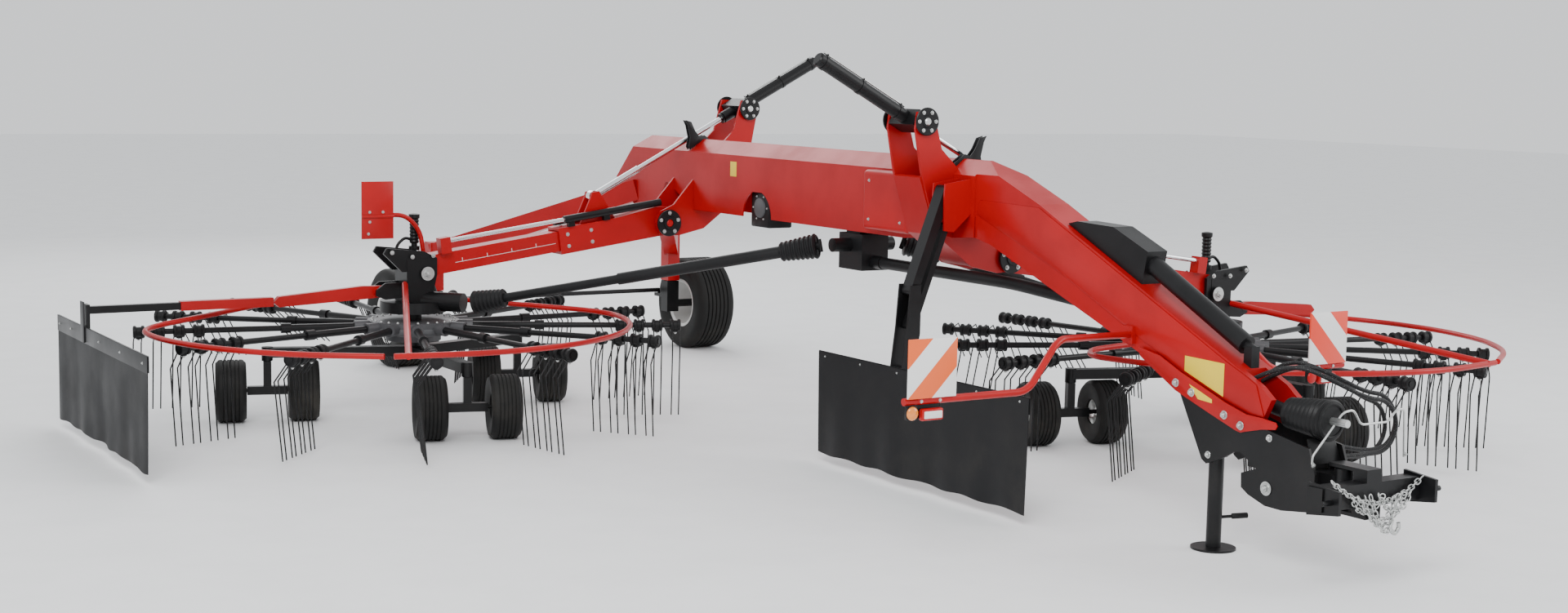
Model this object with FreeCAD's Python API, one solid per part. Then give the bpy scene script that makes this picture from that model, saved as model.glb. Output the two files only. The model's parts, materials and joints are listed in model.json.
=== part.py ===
"""Trailed two-rotor side rake in its working position.

Millimetres, +Z up. While modelling, X = 0 is the middle of the main beam, -Y is the
drawbar end, +X is the machine's left and Z = 0 is the ground. At the end every node
is moved so that the middle of the bottom of the bounding box is the origin.
"""
import FreeCAD
import Part
import math
import os

V = FreeCAD.Vector

# --- driving dimensions ---------------------------------------------------------------
BEAM_WIDTH = 260.0
BEAM_TOP = 2045.0
BEAM_SHOULDER = 1950.0
BEAM_BOTTOM = 1690.0
BEAM_REAR_Y = 2400.0
NECK_Y = -2050.0
DRAWBAR_FOOT_Y = -4560.0
DRAWBAR_WIDTH = 230.0
FORK_GAP = 78.0
FORK_Y = -4400.0
SKIRT_DROP = 190.0
SKIRT_PLATE = 10.0

ROTOR_Y = 1670.0
REACH = {"right": 2050.0, "left": 1980.0}
ROTOR_RADIUS = 1960.0
ROTOR_HEIGHT = 690.0
ARM_COUNT = 13
FIRST_ARM = {"right": 3.0, "left": 17.0}
TINE_TIP = 25.0
TINE_DIA = 9.5
TINE_LIFT = 60.0

PIVOT_X = 350.0
PIVOT_Z = 1400.0
ARM_SLOPE = 8.1
PIVOT_PIN = 40.0
STATION_GAP = 280.0
STATION_PLATE = 20.0
SLEEVE_LENGTH = 900.0
SLEEVE_HEIGHT = 200.0
SLEEVE_WIDTH = 190.0
TUBE_SIZE = 150.0
TUBE_CLEARANCE = 4.0
TUBE_OVERLAP = 300.0
ARM_STROKE = 800.0

TRUNNION_X = 365.0
TRUNNION_Z = 2285.0
TRUNNION_PIN = 25.0
EYE_U = 536.0
EYE_V = 284.0
LIFT_BARREL = 45.0
LIFT_ROD = 20.0
LIFT_SLEEVE = 27.0
LIFT_TAIL = 805.0
LIFT_FRONT = 160.0
FOLD_ANGLE = 85.0

REACH_ROD_SIDE = 98.0
REACH_ROD_RISE = 160.0
REACH_BARREL = 28.0
REACH_MOUTH = 850.0
REACH_ROD = 16.0

SHAFT_Y = -630.0
SHAFT_TUBE = 42.0
SHAFT_INNER = 33.0
INPUT_Z = 1290.0
DRIVE_TUBE = 40.0
DRIVE_ROOM = 12.0
DRIVE_SHIFT = 46.0

AXLE_Y = 4180.0
TRACK_HALF = 1450.0
TYRE_RADIUS = 420.0
TYRE_WIDTH = 380.0
KINGPIN_X = 1170.0
STEER_ARM = 210.0

CASTOR_RADIUS = 225.0
CASTOR_WIDTH = 215.0
CASTOR_SPREAD = 255.0
CASTOR_TURN = -16.4
CASTOR_ROOM = 960.0
CASTOR_REACH = ROTOR_RADIUS - CASTOR_ROOM
CASTOR_PLACES = {"front": (0.0, -0.975 * CASTOR_REACH), "outer": (0.985 * CASTOR_REACH, 0.33 * CASTOR_REACH),
                 "inner": (-0.985 * CASTOR_REACH, 0.33 * CASTOR_REACH)}

HITCH_Y = -5060.0
HITCH_Z = 500.0
SWIVEL_PIN = 30.0
LINK_SPAN = 870.0
LINK_PIN = 14.0

BOARD_Y = -3870.0
BOARD_Z = 907.0
BOARD_X = {-1: 1800.0, 1: 1105.0}
BOARD_HALF = 155.0
BOARD_TALL = 310.0
BOARD_TUBE = 20.0
BOARD_BEND = {-1: 1145.0, 1: 680.0}

JACK_X = -58.0
JACK_Y = -4200.0
JACK_TUBE = 42.0
JACK_TOP = 700.0
JACK_STROKE = 300.0

RUNNING = 0.06
GAP = 6.0


# --- helpers --------------------------------------------------------------------------
def box(x0, x1, y0, y1, z0, z1):
    return Part.makeBox(x1 - x0, y1 - y0, z1 - z0, V(x0, y0, z0))


def rod(start, end, radius):
    axis = V(*end) - V(*start)
    return Part.makeCylinder(radius, axis.Length, V(*start), axis)


def pipe(start, end, outer, inner):
    return rod(start, end, outer).cut(rod(start, end, inner))


def plate(points, y0, y1):
    """A plate in the XZ plane from y0 to y1."""
    corners = [V(x, y0, z) for x, z in points]
    face = Part.Face(Part.makePolygon(corners + corners[:1]))
    return face.extrude(V(0, y1 - y0, 0))


def side_plate(points, x0, x1):
    """A plate in the YZ plane from x0 to x1."""
    corners = [V(x0, y, z) for y, z in points]
    face = Part.Face(Part.makePolygon(corners + corners[:1]))
    return face.extrude(V(x1 - x0, 0, 0))


def floor_plate(points, z0, z1):
    """A plate in the XY plane from z0 to z1."""
    corners = [V(x, y, z0) for x, y in points]
    face = Part.Face(Part.makePolygon(corners + corners[:1]))
    return face.extrude(V(0, 0, z1 - z0))


def beam(start, end, width, height):
    """A box section beam between two points, its width kept level."""
    first = V(*start)
    last = V(*end)
    along = last - first
    length = along.Length
    shape = Part.makeBox(length, width, height, V(0, -width / 2, -height / 2))
    yaw = math.degrees(math.atan2(along.y, along.x))
    pitch = -math.degrees(math.asin(along.z / length))
    shape.rotate(V(0, 0, 0), V(0, 1, 0), pitch)
    shape.rotate(V(0, 0, 0), V(0, 0, 1), yaw)
    shape.translate(first)
    return shape


def bent(points, radius, share=0.45):
    """A round bar along straight runs joined by tangent arcs; also returns the bend radii."""
    spots = [V(*point) for point in points]
    edges = []
    radii = []
    last = spots[0]
    for before, here, after in zip(spots, spots[1:], spots[2:]):
        arriving = (here - before).normalize()
        leaving = (after - here).normalize()
        turn = arriving.getAngle(leaving)
        setback = share * min((here - before).Length, (after - here).Length)
        bend = setback / math.tan(turn / 2)
        radii.append(bend)
        enter = here - arriving * setback
        leave = here + leaving * setback
        inward = (leaving - arriving).normalize()
        centre_gap = math.hypot(bend, setback)
        middle = here + inward * (centre_gap - bend)
        edges.append(Part.LineSegment(last, enter).toShape())
        edges.append(Part.Arc(enter, middle, leave).toShape())
        last = leave
    edges.append(Part.LineSegment(last, spots[-1]).toShape())
    path = Part.Wire(edges)
    ring = Part.Wire([Part.makeCircle(radius, spots[0], spots[1] - spots[0])])
    return path.makePipeShell([ring], True, True), radii


def fuse(*shapes):
    whole = shapes[0].fuse(list(shapes[1:])) if len(shapes) > 1 else shapes[0]
    return whole.removeSplitter()


def ring_profile(points):
    """Turns a profile of (radius, x) points about the X axis."""
    corners = [V(x, 0, radius) for radius, x in points]
    face = Part.Face(Part.makePolygon(corners + corners[:1]))
    return face.revolve(V(0, 0, 0), V(1, 0, 0), 360)


SIDES = {"right": -1, "left": 1}


def rotor_centre(side):
    sign = SIDES[side]
    x = PIVOT_X + REACH[side] * math.cos(math.radians(ARM_SLOPE))
    return V(sign * x, -sign * ROTOR_Y, 0)


def to_arm(shape, side):
    """From the arm's own frame, x outward along the arm and z above it, to the machine."""
    sign = SIDES[side]
    shape = shape.copy()
    shape.rotate(V(0, 0, 0), V(0, 1, 0), ARM_SLOPE)
    if sign < 0:
        shape = shape.mirror(V(0, 0, 0), V(1, 0, 0))
    shape.translate(V(sign * PIVOT_X, -sign * ROTOR_Y, PIVOT_Z))
    return shape


def arm_point(side, u, y, v):
    slope = math.radians(ARM_SLOPE)
    sign = SIDES[side]
    x = u * math.cos(slope) + v * math.sin(slope)
    z = -u * math.sin(slope) + v * math.cos(slope)
    return V(sign * (PIVOT_X + x), -sign * ROTOR_Y + y, PIVOT_Z + z)


def to_rotor(shape, side):
    """From the rotor's own frame, x outward from the machine, to the machine."""
    shape = shape.copy()
    if SIDES[side] < 0:
        shape = shape.mirror(V(0, 0, 0), V(1, 0, 0))
    shape.translate(rotor_centre(side))
    return shape


def to_station(shape, side):
    """From the fold station's frame, x from the machine's middle towards the arm."""
    shape = shape.copy()
    if SIDES[side] < 0:
        shape = shape.mirror(V(0, 0, 0), V(1, 0, 0))
    shape.translate(V(0, -SIDES[side] * ROTOR_Y, 0))
    return shape


# --- frame ----------------------------------------------------------------------------
def fold_station():
    """Two cross plates that hold an arm's pivot on one side and its cylinder on the other."""
    outline = [(-300, 2350), (-425, 2345), (-440, 2240), (-385, 1960), (-250, 1560), (30, 1350),
               (250, 1300), (415, 1310), (455, 1400), (415, 1490), (300, 1540), (-70, 1960),
               (-230, 2110)]
    half = STATION_GAP / 2
    pieces = []
    for sign in (-1, 1):
        near = sign * half
        far = sign * (half + STATION_PLATE)
        cheek = plate(outline, min(near, far), max(near, far))
        flange = rod((PIVOT_X, far, PIVOT_Z), (PIVOT_X, far + sign * 14, PIVOT_Z), 68)
        pin = rod((PIVOT_X, far, PIVOT_Z), (PIVOT_X, sign * (SLEEVE_WIDTH / 2 + 4), PIVOT_Z), PIVOT_PIN)
        boss = rod((-TRUNNION_X, far, TRUNNION_Z), (-TRUNNION_X, far + sign * 12, TRUNNION_Z), 55)
        bore = rod((-TRUNNION_X, near - sign, TRUNNION_Z), (-TRUNNION_X, far + sign * 13, TRUNNION_Z),
                   TRUNNION_PIN + RUNNING)
        pieces.append(fuse(cheek, flange, pin, boss).cut(bore))
    web = plate([(-385, 1930), (-250, 1560), (30, 1352), (40, 1372), (-232, 1575), (-365, 1940)], -half, half)
    return fuse(*pieces, web)


def drawbar_outline(spare):
    """The drawbar's side view, grown by a hair on top and below."""
    foot = DRAWBAR_FOOT_Y
    start = NECK_Y + 60
    return [(start, BEAM_TOP + spare), (NECK_Y, BEAM_TOP + spare), (-2670, 1810 + spare), (foot, 960 + spare),
            (foot - 80 - spare, 900), (foot, 740 - spare), (-4030, 870 - spare), (-2200, 1530 - spare),
            (start, 1570 - spare)]


def main_frame():
    half = BEAM_WIDTH / 2
    rear = BEAM_REAR_Y
    outline = [(NECK_Y, BEAM_TOP), (rear, BEAM_TOP), (rear + 390, 1690), (rear + 60, 1470), (rear - 330, 1520),
               (rear - 450, BEAM_BOTTOM), (NECK_Y, BEAM_BOTTOM)]
    section = [(-half, 300), (half, 300), (half, BEAM_SHOULDER), (10, BEAM_TOP), (-10, BEAM_TOP),
               (-half, BEAM_SHOULDER)]
    ridge = plate(section, DRAWBAR_FOOT_Y - 200, BEAM_REAR_Y + 400)
    spine = side_plate(outline, -half, half).common(ridge)
    bar = side_plate(drawbar_outline(0), -DRAWBAR_WIDTH / 2, DRAWBAR_WIDTH / 2).common(ridge)
    fork = box(-FORK_GAP, FORK_GAP, DRAWBAR_FOOT_Y - 100, FORK_Y, 0, 1200)
    bar = bar.cut(fork).cut(drive_channel())
    well_top = JACK_TOP + JACK_STROKE + 10
    bar = bar.cut(rod((JACK_X, JACK_Y, 500), (JACK_X, JACK_Y, well_top), JACK_TUBE + RUNNING))
    pieces = [spine, bar]
    for sign in (-1, 1):
        outer = sign * half
        inner = sign * (half - SKIRT_PLATE)
        skirt = side_plate([(NECK_Y, BEAM_BOTTOM + 20), (NECK_Y, 1560), (-1300, 1500), (1500, 1500),
                            (1960, BEAM_BOTTOM + 20)], min(outer, inner), max(outer, inner))
        arch = rod((-half - 20, 560, 1500), (half + 20, 560, 1500), 200)
        pieces.append(skirt.cut(arch))
    for side in SIDES:
        pieces.append(to_station(fold_station(), side))
    return pieces[0].fuse(pieces[1:] + link_bracket())


def side_covers():
    """Bolted valve covers on both sides of the beam, ahead of its middle."""
    covers = []
    for sign in (-1, 1):
        inner = sign * (BEAM_WIDTH / 2 + 0.3)
        outer = sign * (BEAM_WIDTH / 2 + 120)
        block = box(min(inner, outer), max(inner, outer), -1500, -980, 1540, 1940)
        covers.append(block.makeFillet(30, block.Edges))
    return Part.makeCompound(covers)


def rear_axle():
    pieces = []
    for sign in (-1, 1):
        top = (sign * 90, BEAM_REAR_Y + 60, 1600)
        corner = (sign * KINGPIN_X, AXLE_Y - 20, 960)
        strut = beam(top, corner, 130, 170)
        leg = box(sign * KINGPIN_X - 60, sign * KINGPIN_X + 60, AXLE_Y - 70, AXLE_Y + 70, 640, 1060)
        bore = rod((sign * KINGPIN_X, AXLE_Y, 600), (sign * KINGPIN_X, AXLE_Y, 900), 30 + RUNNING)
        pieces.append(fuse(strut, leg).cut(bore))
    axle = fuse(*pieces, box(-90, 90, BEAM_REAR_Y + 10, BEAM_REAR_Y + 260, 1500, 1680))
    return axle.cut(main_frame_rear())


def main_frame_rear():
    """The beam's rear end, taken out of what is welded to it, with a hair of paint."""
    half = BEAM_WIDTH / 2 + 0.3
    return side_plate([(1500, BEAM_TOP + 1), (BEAM_REAR_Y + 1, BEAM_TOP + 1), (BEAM_REAR_Y + 391, 1690),
                       (BEAM_REAR_Y + 60, 1469), (BEAM_REAR_Y - 331, 1519), (1500, 1519)], -half, half)


def transfer_gearbox():
    casing = box(-110, 110, SHAFT_Y - 160, SHAFT_Y + 120, INPUT_Z - 60, 1480)
    hanger = box(-90, 90, SHAFT_Y - 100, SHAFT_Y + 60, 1470, BEAM_BOTTOM - 0.3)
    pieces = [casing, hanger]
    for sign in (-1, 1):
        pieces.append(rod((sign * 100, SHAFT_Y, PIVOT_Z), (sign * 250, SHAFT_Y, PIVOT_Z), 48))
    pieces.append(rod((0, SHAFT_Y - 150, INPUT_Z), (0, SHAFT_Y - 260, INPUT_Z), 45))
    return fuse(*pieces)


def drive_route():
    """The driveline's corners, from the gearbox through the drawbar's channel to the fork."""
    return [(0, SHAFT_Y - 262, INPUT_Z), (0, -2300, INPUT_Z), (0, -3100, 1240), (DRIVE_SHIFT, -3950, 940),
            (DRIVE_SHIFT, FORK_Y + 100, 870), (0, -4640, 830), (0, -4960, 830)]


def drive_channel():
    """Room for the driveline in the drawbar, open below and narrower beside the jack."""
    room = DRIVE_TUBE + DRIVE_ROOM
    corners = drive_route()
    outline = [(corners[1][1], 500)]
    outline.extend((y, z + room) for _, y, z in corners[1:5])
    outline.extend([(FORK_Y - 1, corners[4][2] + room), (FORK_Y - 1, 500)])
    channel = side_plate(outline, -room, DRIVE_SHIFT + DRIVE_TUBE + 6)
    beside = box(-room - 1, DRIVE_SHIFT - DRIVE_TUBE - 6, JACK_Y - 70, JACK_Y + 70, 400, 1100)
    return channel.cut(beside)


def input_shaft():
    """The driveline from the tractor's end through the drawbar's channel to the gearbox."""
    shaft, _ = bent(drive_route(), DRIVE_TUBE, 0.2)
    cone = Part.makeCone(75, 102, 290, V(0, -4670, 830), V(0, -1, 0))
    return fuse(shaft, cone)


def hitch_plates():
    """Side plates bolted to the drawbar's foot, with the jack's sleeve and the swivel post."""
    inner = DRAWBAR_WIDTH / 2 + 0.3
    outline = [(-3950, 872), (-4316, 838), (-4483, 797), (-4640, 740), (-4930, 690), (-4980, 560),
               (-4980, 360), (-4760, 330), (-4640, 332), (-4515, 371), (-4462, 402), (-4458, 480), (-4570, 522),
               (-4440, 592), (-4394, 580), (-4323, 538), (-4191, 483), (-4155, 504)]
    pieces = []
    for sign in (-1, 1):
        x0 = sign * inner
        x1 = sign * (inner + 16)
        pieces.append(side_plate(outline, min(x0, x1), max(x0, x1)))
    bridge = box(-inner - 1, inner + 1, -4930, -4860, 430, 560)
    bore = rod((0, HITCH_Y, 399), (0, HITCH_Y, 601), SWIVEL_PIN + RUNNING)
    post = rod((0, HITCH_Y, 400), (0, HITCH_Y, 600), 50).cut(bore)
    neck = box(-45, 45, HITCH_Y + 20, -4860, 430, 560).cut(bore)
    sleeve = box(JACK_X - 52, JACK_X + 52, JACK_Y - 58, JACK_Y + 58, 560, 900)
    seat = box(-inner - 1, JACK_X, JACK_Y - 40, JACK_Y + 40, 600, 700)
    sleeve = fuse(sleeve, seat).cut(rod((JACK_X, JACK_Y, 540), (JACK_X, JACK_Y, 960), JACK_TUBE + RUNNING))
    cross = box(-inner - 1, inner + 1, -4560, -4490, 520, 570)
    whole = fuse(*pieces, bridge, post, neck, sleeve, cross)
    return whole.cut(drawbar_hollow())


def drawbar_hollow():
    """The drawbar's own outline, a hair larger, kept clear by what is bolted to it."""
    half = DRAWBAR_WIDTH / 2 + 0.3
    return side_plate(drawbar_outline(0.3), -half, half)


def jack_leg():
    foot = Part.makeCylinder(125, 12, V(JACK_X, JACK_Y, 0))
    tube = rod((JACK_X, JACK_Y, 12), (JACK_X, JACK_Y, JACK_TOP), JACK_TUBE)
    grip = rod((JACK_X, JACK_Y, 175), (JACK_X + 110, JACK_Y - 60, 185), 9)
    return fuse(foot, tube, grip)


def drawbar_cylinder():
    """The drawbar's lifting cylinder on its gusset, lying along the top of the drawbar."""
    x0 = -DRAWBAR_WIDTH / 2
    top = (0, -3330, 1640)
    low = (0, -4330, 1150)
    gusset = side_plate([(-2900, 1712), (-3560, 1410), (-3600, 1600), (-3300, 1720), (-2980, 1730)],
                        x0 + 40, -x0 - 40)
    gusset = gusset.cut(drawbar_hollow())
    barrel = rod(top, low, 55)
    nose = rod(low, (0, -4380, 1125), 30)
    lug = box(-30, 30, -4398, -4340, 1011, 1150).cut(drawbar_hollow())
    return fuse(gusset, barrel, nose, lug)


def drawbar_tubes():
    """Bent tubes with tabs that carry the warning boards, one each side."""
    tubes = []
    x = DRAWBAR_WIDTH / 2 + 0.3
    for sign, board in BOARD_X.items():
        near = BOARD_BEND[sign]
        route = [(sign * x, -3530, 1120), (sign * (near - 262), BOARD_Y + 70, 1165), (sign * near, BOARD_Y, BOARD_Z),
                 (sign * (board + BOARD_HALF + 5), BOARD_Y, BOARD_Z)]
        tube, _ = bent(route, BOARD_TUBE, 0.2)
        pad = box(min(sign * x, sign * (x + 25)), max(sign * x, sign * (x + 25)), -3570, -3490, 1070, 1170)
        tab = box(sign * board - 80, sign * board + 80, BOARD_Y - BOARD_TUBE, BOARD_Y - BOARD_TUBE + 8, BOARD_Z,
                  BOARD_Z + 90)
        tubes.append(fuse(tube, pad, tab).cut(drawbar_hollow()))
    return Part.makeCompound(tubes)


def warning_boards():
    face = BOARD_Y - BOARD_TUBE - 0.3
    low = BOARD_Z + 16
    boards = []
    for sign, board in BOARD_X.items():
        boards.append(box(sign * board - BOARD_HALF, sign * board + BOARD_HALF, face - 11.7, face, low,
                          low + BOARD_TALL))
    return Part.makeCompound(boards)


# --- hitch ----------------------------------------------------------------------------
def headstock():
    """Crossbar with the tractor's lower link pins, on a swivel pin in the hitch post."""
    half = LINK_SPAN / 2
    y = HITCH_Y - 150
    bar = box(-half + 60, half - 60, y - 50, y + 50, HITCH_Z - 60, HITCH_Z + 60)
    pieces = [bar]
    for z0 in (370, 602 + GAP):
        pieces.append(box(-55, 55, y, HITCH_Y + 55, z0, z0 + 25 - GAP))
    pieces.append(box(-55, 55, y - 50, y + 40, 370, 633 - GAP))
    pieces.append(rod((0, HITCH_Y, 372), (0, HITCH_Y, 620), SWIVEL_PIN))
    for sign in (-1, 1):
        ear = side_plate([(y - 150, HITCH_Z - 60), (y - 150, HITCH_Z + 60), (y + 60, HITCH_Z + 80),
                          (y + 60, HITCH_Z - 90)], sign * (half - 80) - 10, sign * (half - 80) + 10)
        pin = rod((sign * (half - 90), y - 100, HITCH_Z), (sign * half, y - 100, HITCH_Z), LINK_PIN)
        pieces.append(fuse(ear, pin))
    return fuse(*pieces)


# --- transport wheels -----------------------------------------------------------------
def knuckle(sign):
    x = sign * KINGPIN_X
    pin = rod((x, AXLE_Y, 560), (x, AXLE_Y, 895), 30)
    block = box(x - 60, x + 60, AXLE_Y - 60, AXLE_Y + 60, 350, 634)
    stub = rod((x, AXLE_Y, TYRE_RADIUS), (sign * (TRACK_HALF + 60), AXLE_Y, TYRE_RADIUS), 35)
    lever = box(x - 30, x + 30, AXLE_Y + 50, AXLE_Y + STEER_ARM + 35, 470, 500)
    hole = rod((x, AXLE_Y + STEER_ARM, 460), (x, AXLE_Y + STEER_ARM, 540), 12 + RUNNING)
    return fuse(pin, block, stub, lever).cut(hole)


def tie_rod():
    y = AXLE_Y + STEER_ARM
    pieces = [rod((-KINGPIN_X, y, 526), (KINGPIN_X, y, 526), 20)]
    for sign in (-1, 1):
        pieces.append(rod((sign * KINGPIN_X, y, 465), (sign * KINGPIN_X, y, 530), 12))
    return fuse(*pieces)


def transport_wheel(sign):
    half = TYRE_WIDTH / 2
    rim = 216.0
    tyre = ring_profile([(rim, -half + 40), (TYRE_RADIUS - 70, -half), (TYRE_RADIUS - 25, -half + 22),
                         (TYRE_RADIUS, -half + 60), (TYRE_RADIUS, half - 60), (TYRE_RADIUS - 25, half - 22),
                         (TYRE_RADIUS - 70, half), (rim, half - 40)])
    disc = ring_profile([(35 + RUNNING, 20), (rim + 1, 60), (rim + 1, 76), (150, 50), (75, 50), (75, 90),
                         (35 + RUNNING, 90)])
    edge = half - 42
    well = ring_profile([(rim + 1, -edge), (rim + 1, edge), (rim - 14, edge), (rim - 14, -edge)])
    wheel = fuse(tyre, disc, well)
    if sign < 0:
        wheel = wheel.mirror(V(0, 0, 0), V(1, 0, 0))
    wheel.translate(V(sign * TRACK_HALF, AXLE_Y, TYRE_RADIUS))
    return wheel


# --- folding arms ---------------------------------------------------------------------
def arm_sleeve():
    """The arm's outer part, pivot to sleeve mouth, in the arm's own frame."""
    half_w = SLEEVE_WIDTH / 2
    half_h = SLEEVE_HEIGHT / 2
    body = box(-95, SLEEVE_LENGTH, -half_w, half_w, -half_h, half_h)
    profile = [(-95, -half_h), (-95, half_h), (60, half_h + 30), (420, half_h), (420, -half_h)]
    root = plate(profile, -half_w, half_w)
    cheeks = []
    for sign in (-1, 1):
        boss = rod((0, sign * (half_w - 5), 0), (0, sign * (STATION_GAP / 2 - GAP), 0), 85)
        cheeks.append(boss)
        ear = plate([(400, half_h - 2), (700, half_h - 2), (EYE_U + 48, EYE_V), (EYE_U + 30, EYE_V + 38),
                     (EYE_U - 30, EYE_V + 38), (EYE_U - 48, EYE_V)], sign * 50 - 10, sign * 50 + 10)
        cheeks.append(ear)
    hollow_half = TUBE_SIZE / 2 + TUBE_CLEARANCE
    hollow = box(-400, SLEEVE_LENGTH + 1, -hollow_half, hollow_half, -hollow_half, hollow_half)
    bores = []
    for sign in (-1, 1):
        bores.append(rod((0, sign * half_w, 0), (0, sign * (STATION_GAP / 2), 0), PIVOT_PIN + RUNNING))
    sleeve = fuse(body, root, *cheeks).cut(hollow)
    for bore in bores:
        sleeve = sleeve.cut(bore)
    stub_hole = rod((0, -half_w - 1, 0), (0, half_w + 1, 0), PIVOT_PIN + RUNNING)
    return sleeve.cut(stub_hole)


def reach_barrel():
    """The barrel of the cylinder that slides the arm, clamped on the sleeve."""
    y = -REACH_ROD_SIDE
    v = REACH_ROD_RISE
    tube = pipe((30, y, v), (REACH_MOUTH, y, v), REACH_BARREL, REACH_ROD + RUNNING)
    cap = rod((15, y, v), (32, y, v), REACH_BARREL)
    saddles = []
    for u in (470, 770):
        saddle = box(u, u + 50, y - 20, y + 20, SLEEVE_HEIGHT / 2 + 0.3, v)
        saddles.append(saddle.cut(rod((u - 1, y, v), (u + 51, y, v), REACH_ROD + RUNNING)))
    return fuse(tube, cap, *saddles)


def arm_tube(side):
    """The arm's inner part: the sliding tube with the rod of the cylinder that moves it."""
    half = TUBE_SIZE / 2
    end = REACH[side] - 80
    tube = box(SLEEVE_LENGTH - TUBE_OVERLAP, end, -half, half, -half, half)
    shell = box(SLEEVE_LENGTH - TUBE_OVERLAP - 1, end - 250, -half + 8, half - 8, -half + 8, half - 8)
    y = -REACH_ROD_SIDE
    v = REACH_ROD_RISE
    rod_bar = rod((REACH_MOUTH - 12, y, v), (end - 150, y, v), REACH_ROD)
    block = box(end - 185, end - 105, y - 30, y + 50, half - 1, v + 30)
    return fuse(tube.cut(shell), rod_bar, block)


def lift_line(side):
    """The trunnion, the eye and the unit direction between them."""
    sign = SIDES[side]
    trunnion = V(-sign * TRUNNION_X, -sign * ROTOR_Y, TRUNNION_Z)
    eye = arm_point(side, EYE_U, 0, EYE_V)
    return trunnion, eye, (eye - trunnion).normalize()


def lift_barrel(side):
    trunnion, eye, along = lift_line(side)
    tail = trunnion - along * LIFT_TAIL
    mouth = trunnion + along * LIFT_FRONT
    block = Part.makeBox(120, STATION_GAP - 2 * GAP, 110, V(-60, -STATION_GAP / 2 + GAP, -55))
    block.rotate(V(0, 0, 0), V(0, 1, 0), -math.degrees(math.atan2(along.z, along.x)))
    block.translate(trunnion)
    half = STATION_GAP / 2 + STATION_PLATE
    pins = rod(trunnion + V(0, -half, 0), trunnion + V(0, half, 0), TRUNNION_PIN)
    barrel = rod(tail, mouth, LIFT_BARREL)
    bore = rod(tail + along * 20, mouth + along, LIFT_ROD + RUNNING)
    return fuse(barrel, block, pins).cut(bore)


def lift_rod(side):
    trunnion, eye, along = lift_line(side)
    start = trunnion + along * (LIFT_FRONT - 100)
    bar = rod(start, eye - along * 40, LIFT_ROD)
    sleeve = rod(eye - along * 440, eye - along * 40, LIFT_SLEEVE)
    ring = rod(eye + V(0, -30, 0), eye + V(0, 30, 0), 45)
    return fuse(bar, sleeve, ring)


# --- drive shafts to the rotors -------------------------------------------------------
def shaft_ends(side):
    """The joint on the fold axis and the joint at the rotor's gearbox."""
    sign = SIDES[side]
    near = V(sign * PIVOT_X, SHAFT_Y, PIVOT_Z)
    centre = rotor_centre(side)
    towards = V(near.x - centre.x, near.y - centre.y, 0).normalize()
    far = centre + towards * 470 + V(0, 0, 870)
    return near, far


def shaft_front(side):
    """The outer guard tube with its bellows at the frame's end."""
    near, far = shaft_ends(side)
    along = (far - near).normalize()
    slope = math.radians(ARM_SLOPE)
    drawn_in = far - V(SIDES[side] * math.cos(slope), 0, -math.sin(slope)) * ARM_STROKE
    axis = (far - near).cross(drawn_in - near).normalize()
    yoke = fuse(rod(near - axis * 45, near + axis * 45, 16), rod(near, near + along * 60, 26))
    length = 900 if side == "left" else 1500
    tube = rod(near + along * 60, near + along * length, SHAFT_TUBE)
    tube = tube.cut(rod(near + along * 150, near + along * (length + 1), SHAFT_INNER + 0.3))
    bellows = Part.makeCone(80, 60, 260, near + along * 20, along)
    return fuse(bellows.cut(rod(near + along * 150, near + along * 300, SHAFT_INNER + 0.3)), tube, yoke)


def shaft_rear(side):
    """The inner guard tube with its bellows at the rotor's end."""
    near, far = shaft_ends(side)
    along = (far - near).normalize()
    length = (far - near).Length
    start = 840 if side == "left" else 1300
    tube = rod(near + along * start, far - along * 60, SHAFT_INNER)
    bellows = Part.makeCone(60, 80, 240, far - along * 260, along)
    return fuse(tube, bellows)


# --- rotors ---------------------------------------------------------------------------
def carriage(side):
    """Head, hollow axle and running gear frame below the rotor, in the machine's frame."""
    sign = SIDES[side]
    base = rotor_centre(side)
    slope = math.radians(ARM_SLOPE)
    tube_z = PIVOT_Z - (REACH[side] - 90) * math.sin(slope)
    head = [box(-95, 95, -115, 115, 860, 1180)]
    cheek = [(-140, tube_z - 60), (-140, 1185), (-40, 1235), (245, 1265), (270, 1225), (130, 1090),
             (95, 1090), (95, 860), (-95, 860)]
    for s in (-1, 1):
        head.append(plate(cheek, s * 100 - 12 if s > 0 else -112, s * 100 + 12 if s > 0 else -88))
        ear = plate([(95, 900), (95, 1010), (240, 1010), (310, 960), (310, 920), (240, 890)],
                    s * 62 - 10, s * 62 + 10)
        head.append(ear)
    gearcase = Part.makeCylinder(240, 80, V(0, 0, 790))
    axle = rod((0, 0, 440), (0, 0, 870), 60)
    body = fuse(*head, gearcase, axle)
    body = to_rotor(body, side)
    hub_beam = []
    for name, (x, y) in CASTOR_PLACES.items():
        place = base + V(sign * x, y, 0)
        start = (base.x, base.y, 500)
        hub_beam.append(beam(start, (place.x, place.y, 500), 90, 70))
        hub_beam.append(rod((place.x, place.y, 440), (place.x, place.y, 540), 40))
    near, far = shaft_ends(side)
    inward = (near - base)
    inward = V(inward.x, inward.y, 0).normalize()
    input_box = rod(base + V(0, 0, 870), base + inward * 400 + V(0, 0, 870), 70)
    shape = fuse(body, *hub_beam, input_box)
    cut_hub = to_rotor(arm_tube_space(side), side)
    shape = shape.cut(cut_hub)
    for name, (x, y) in CASTOR_PLACES.items():
        place = base + V(sign * x, y, 0)
        shape = shape.cut(rod((place.x, place.y, 430), (place.x, place.y, 530), 20 + RUNNING))
    return shape


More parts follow.
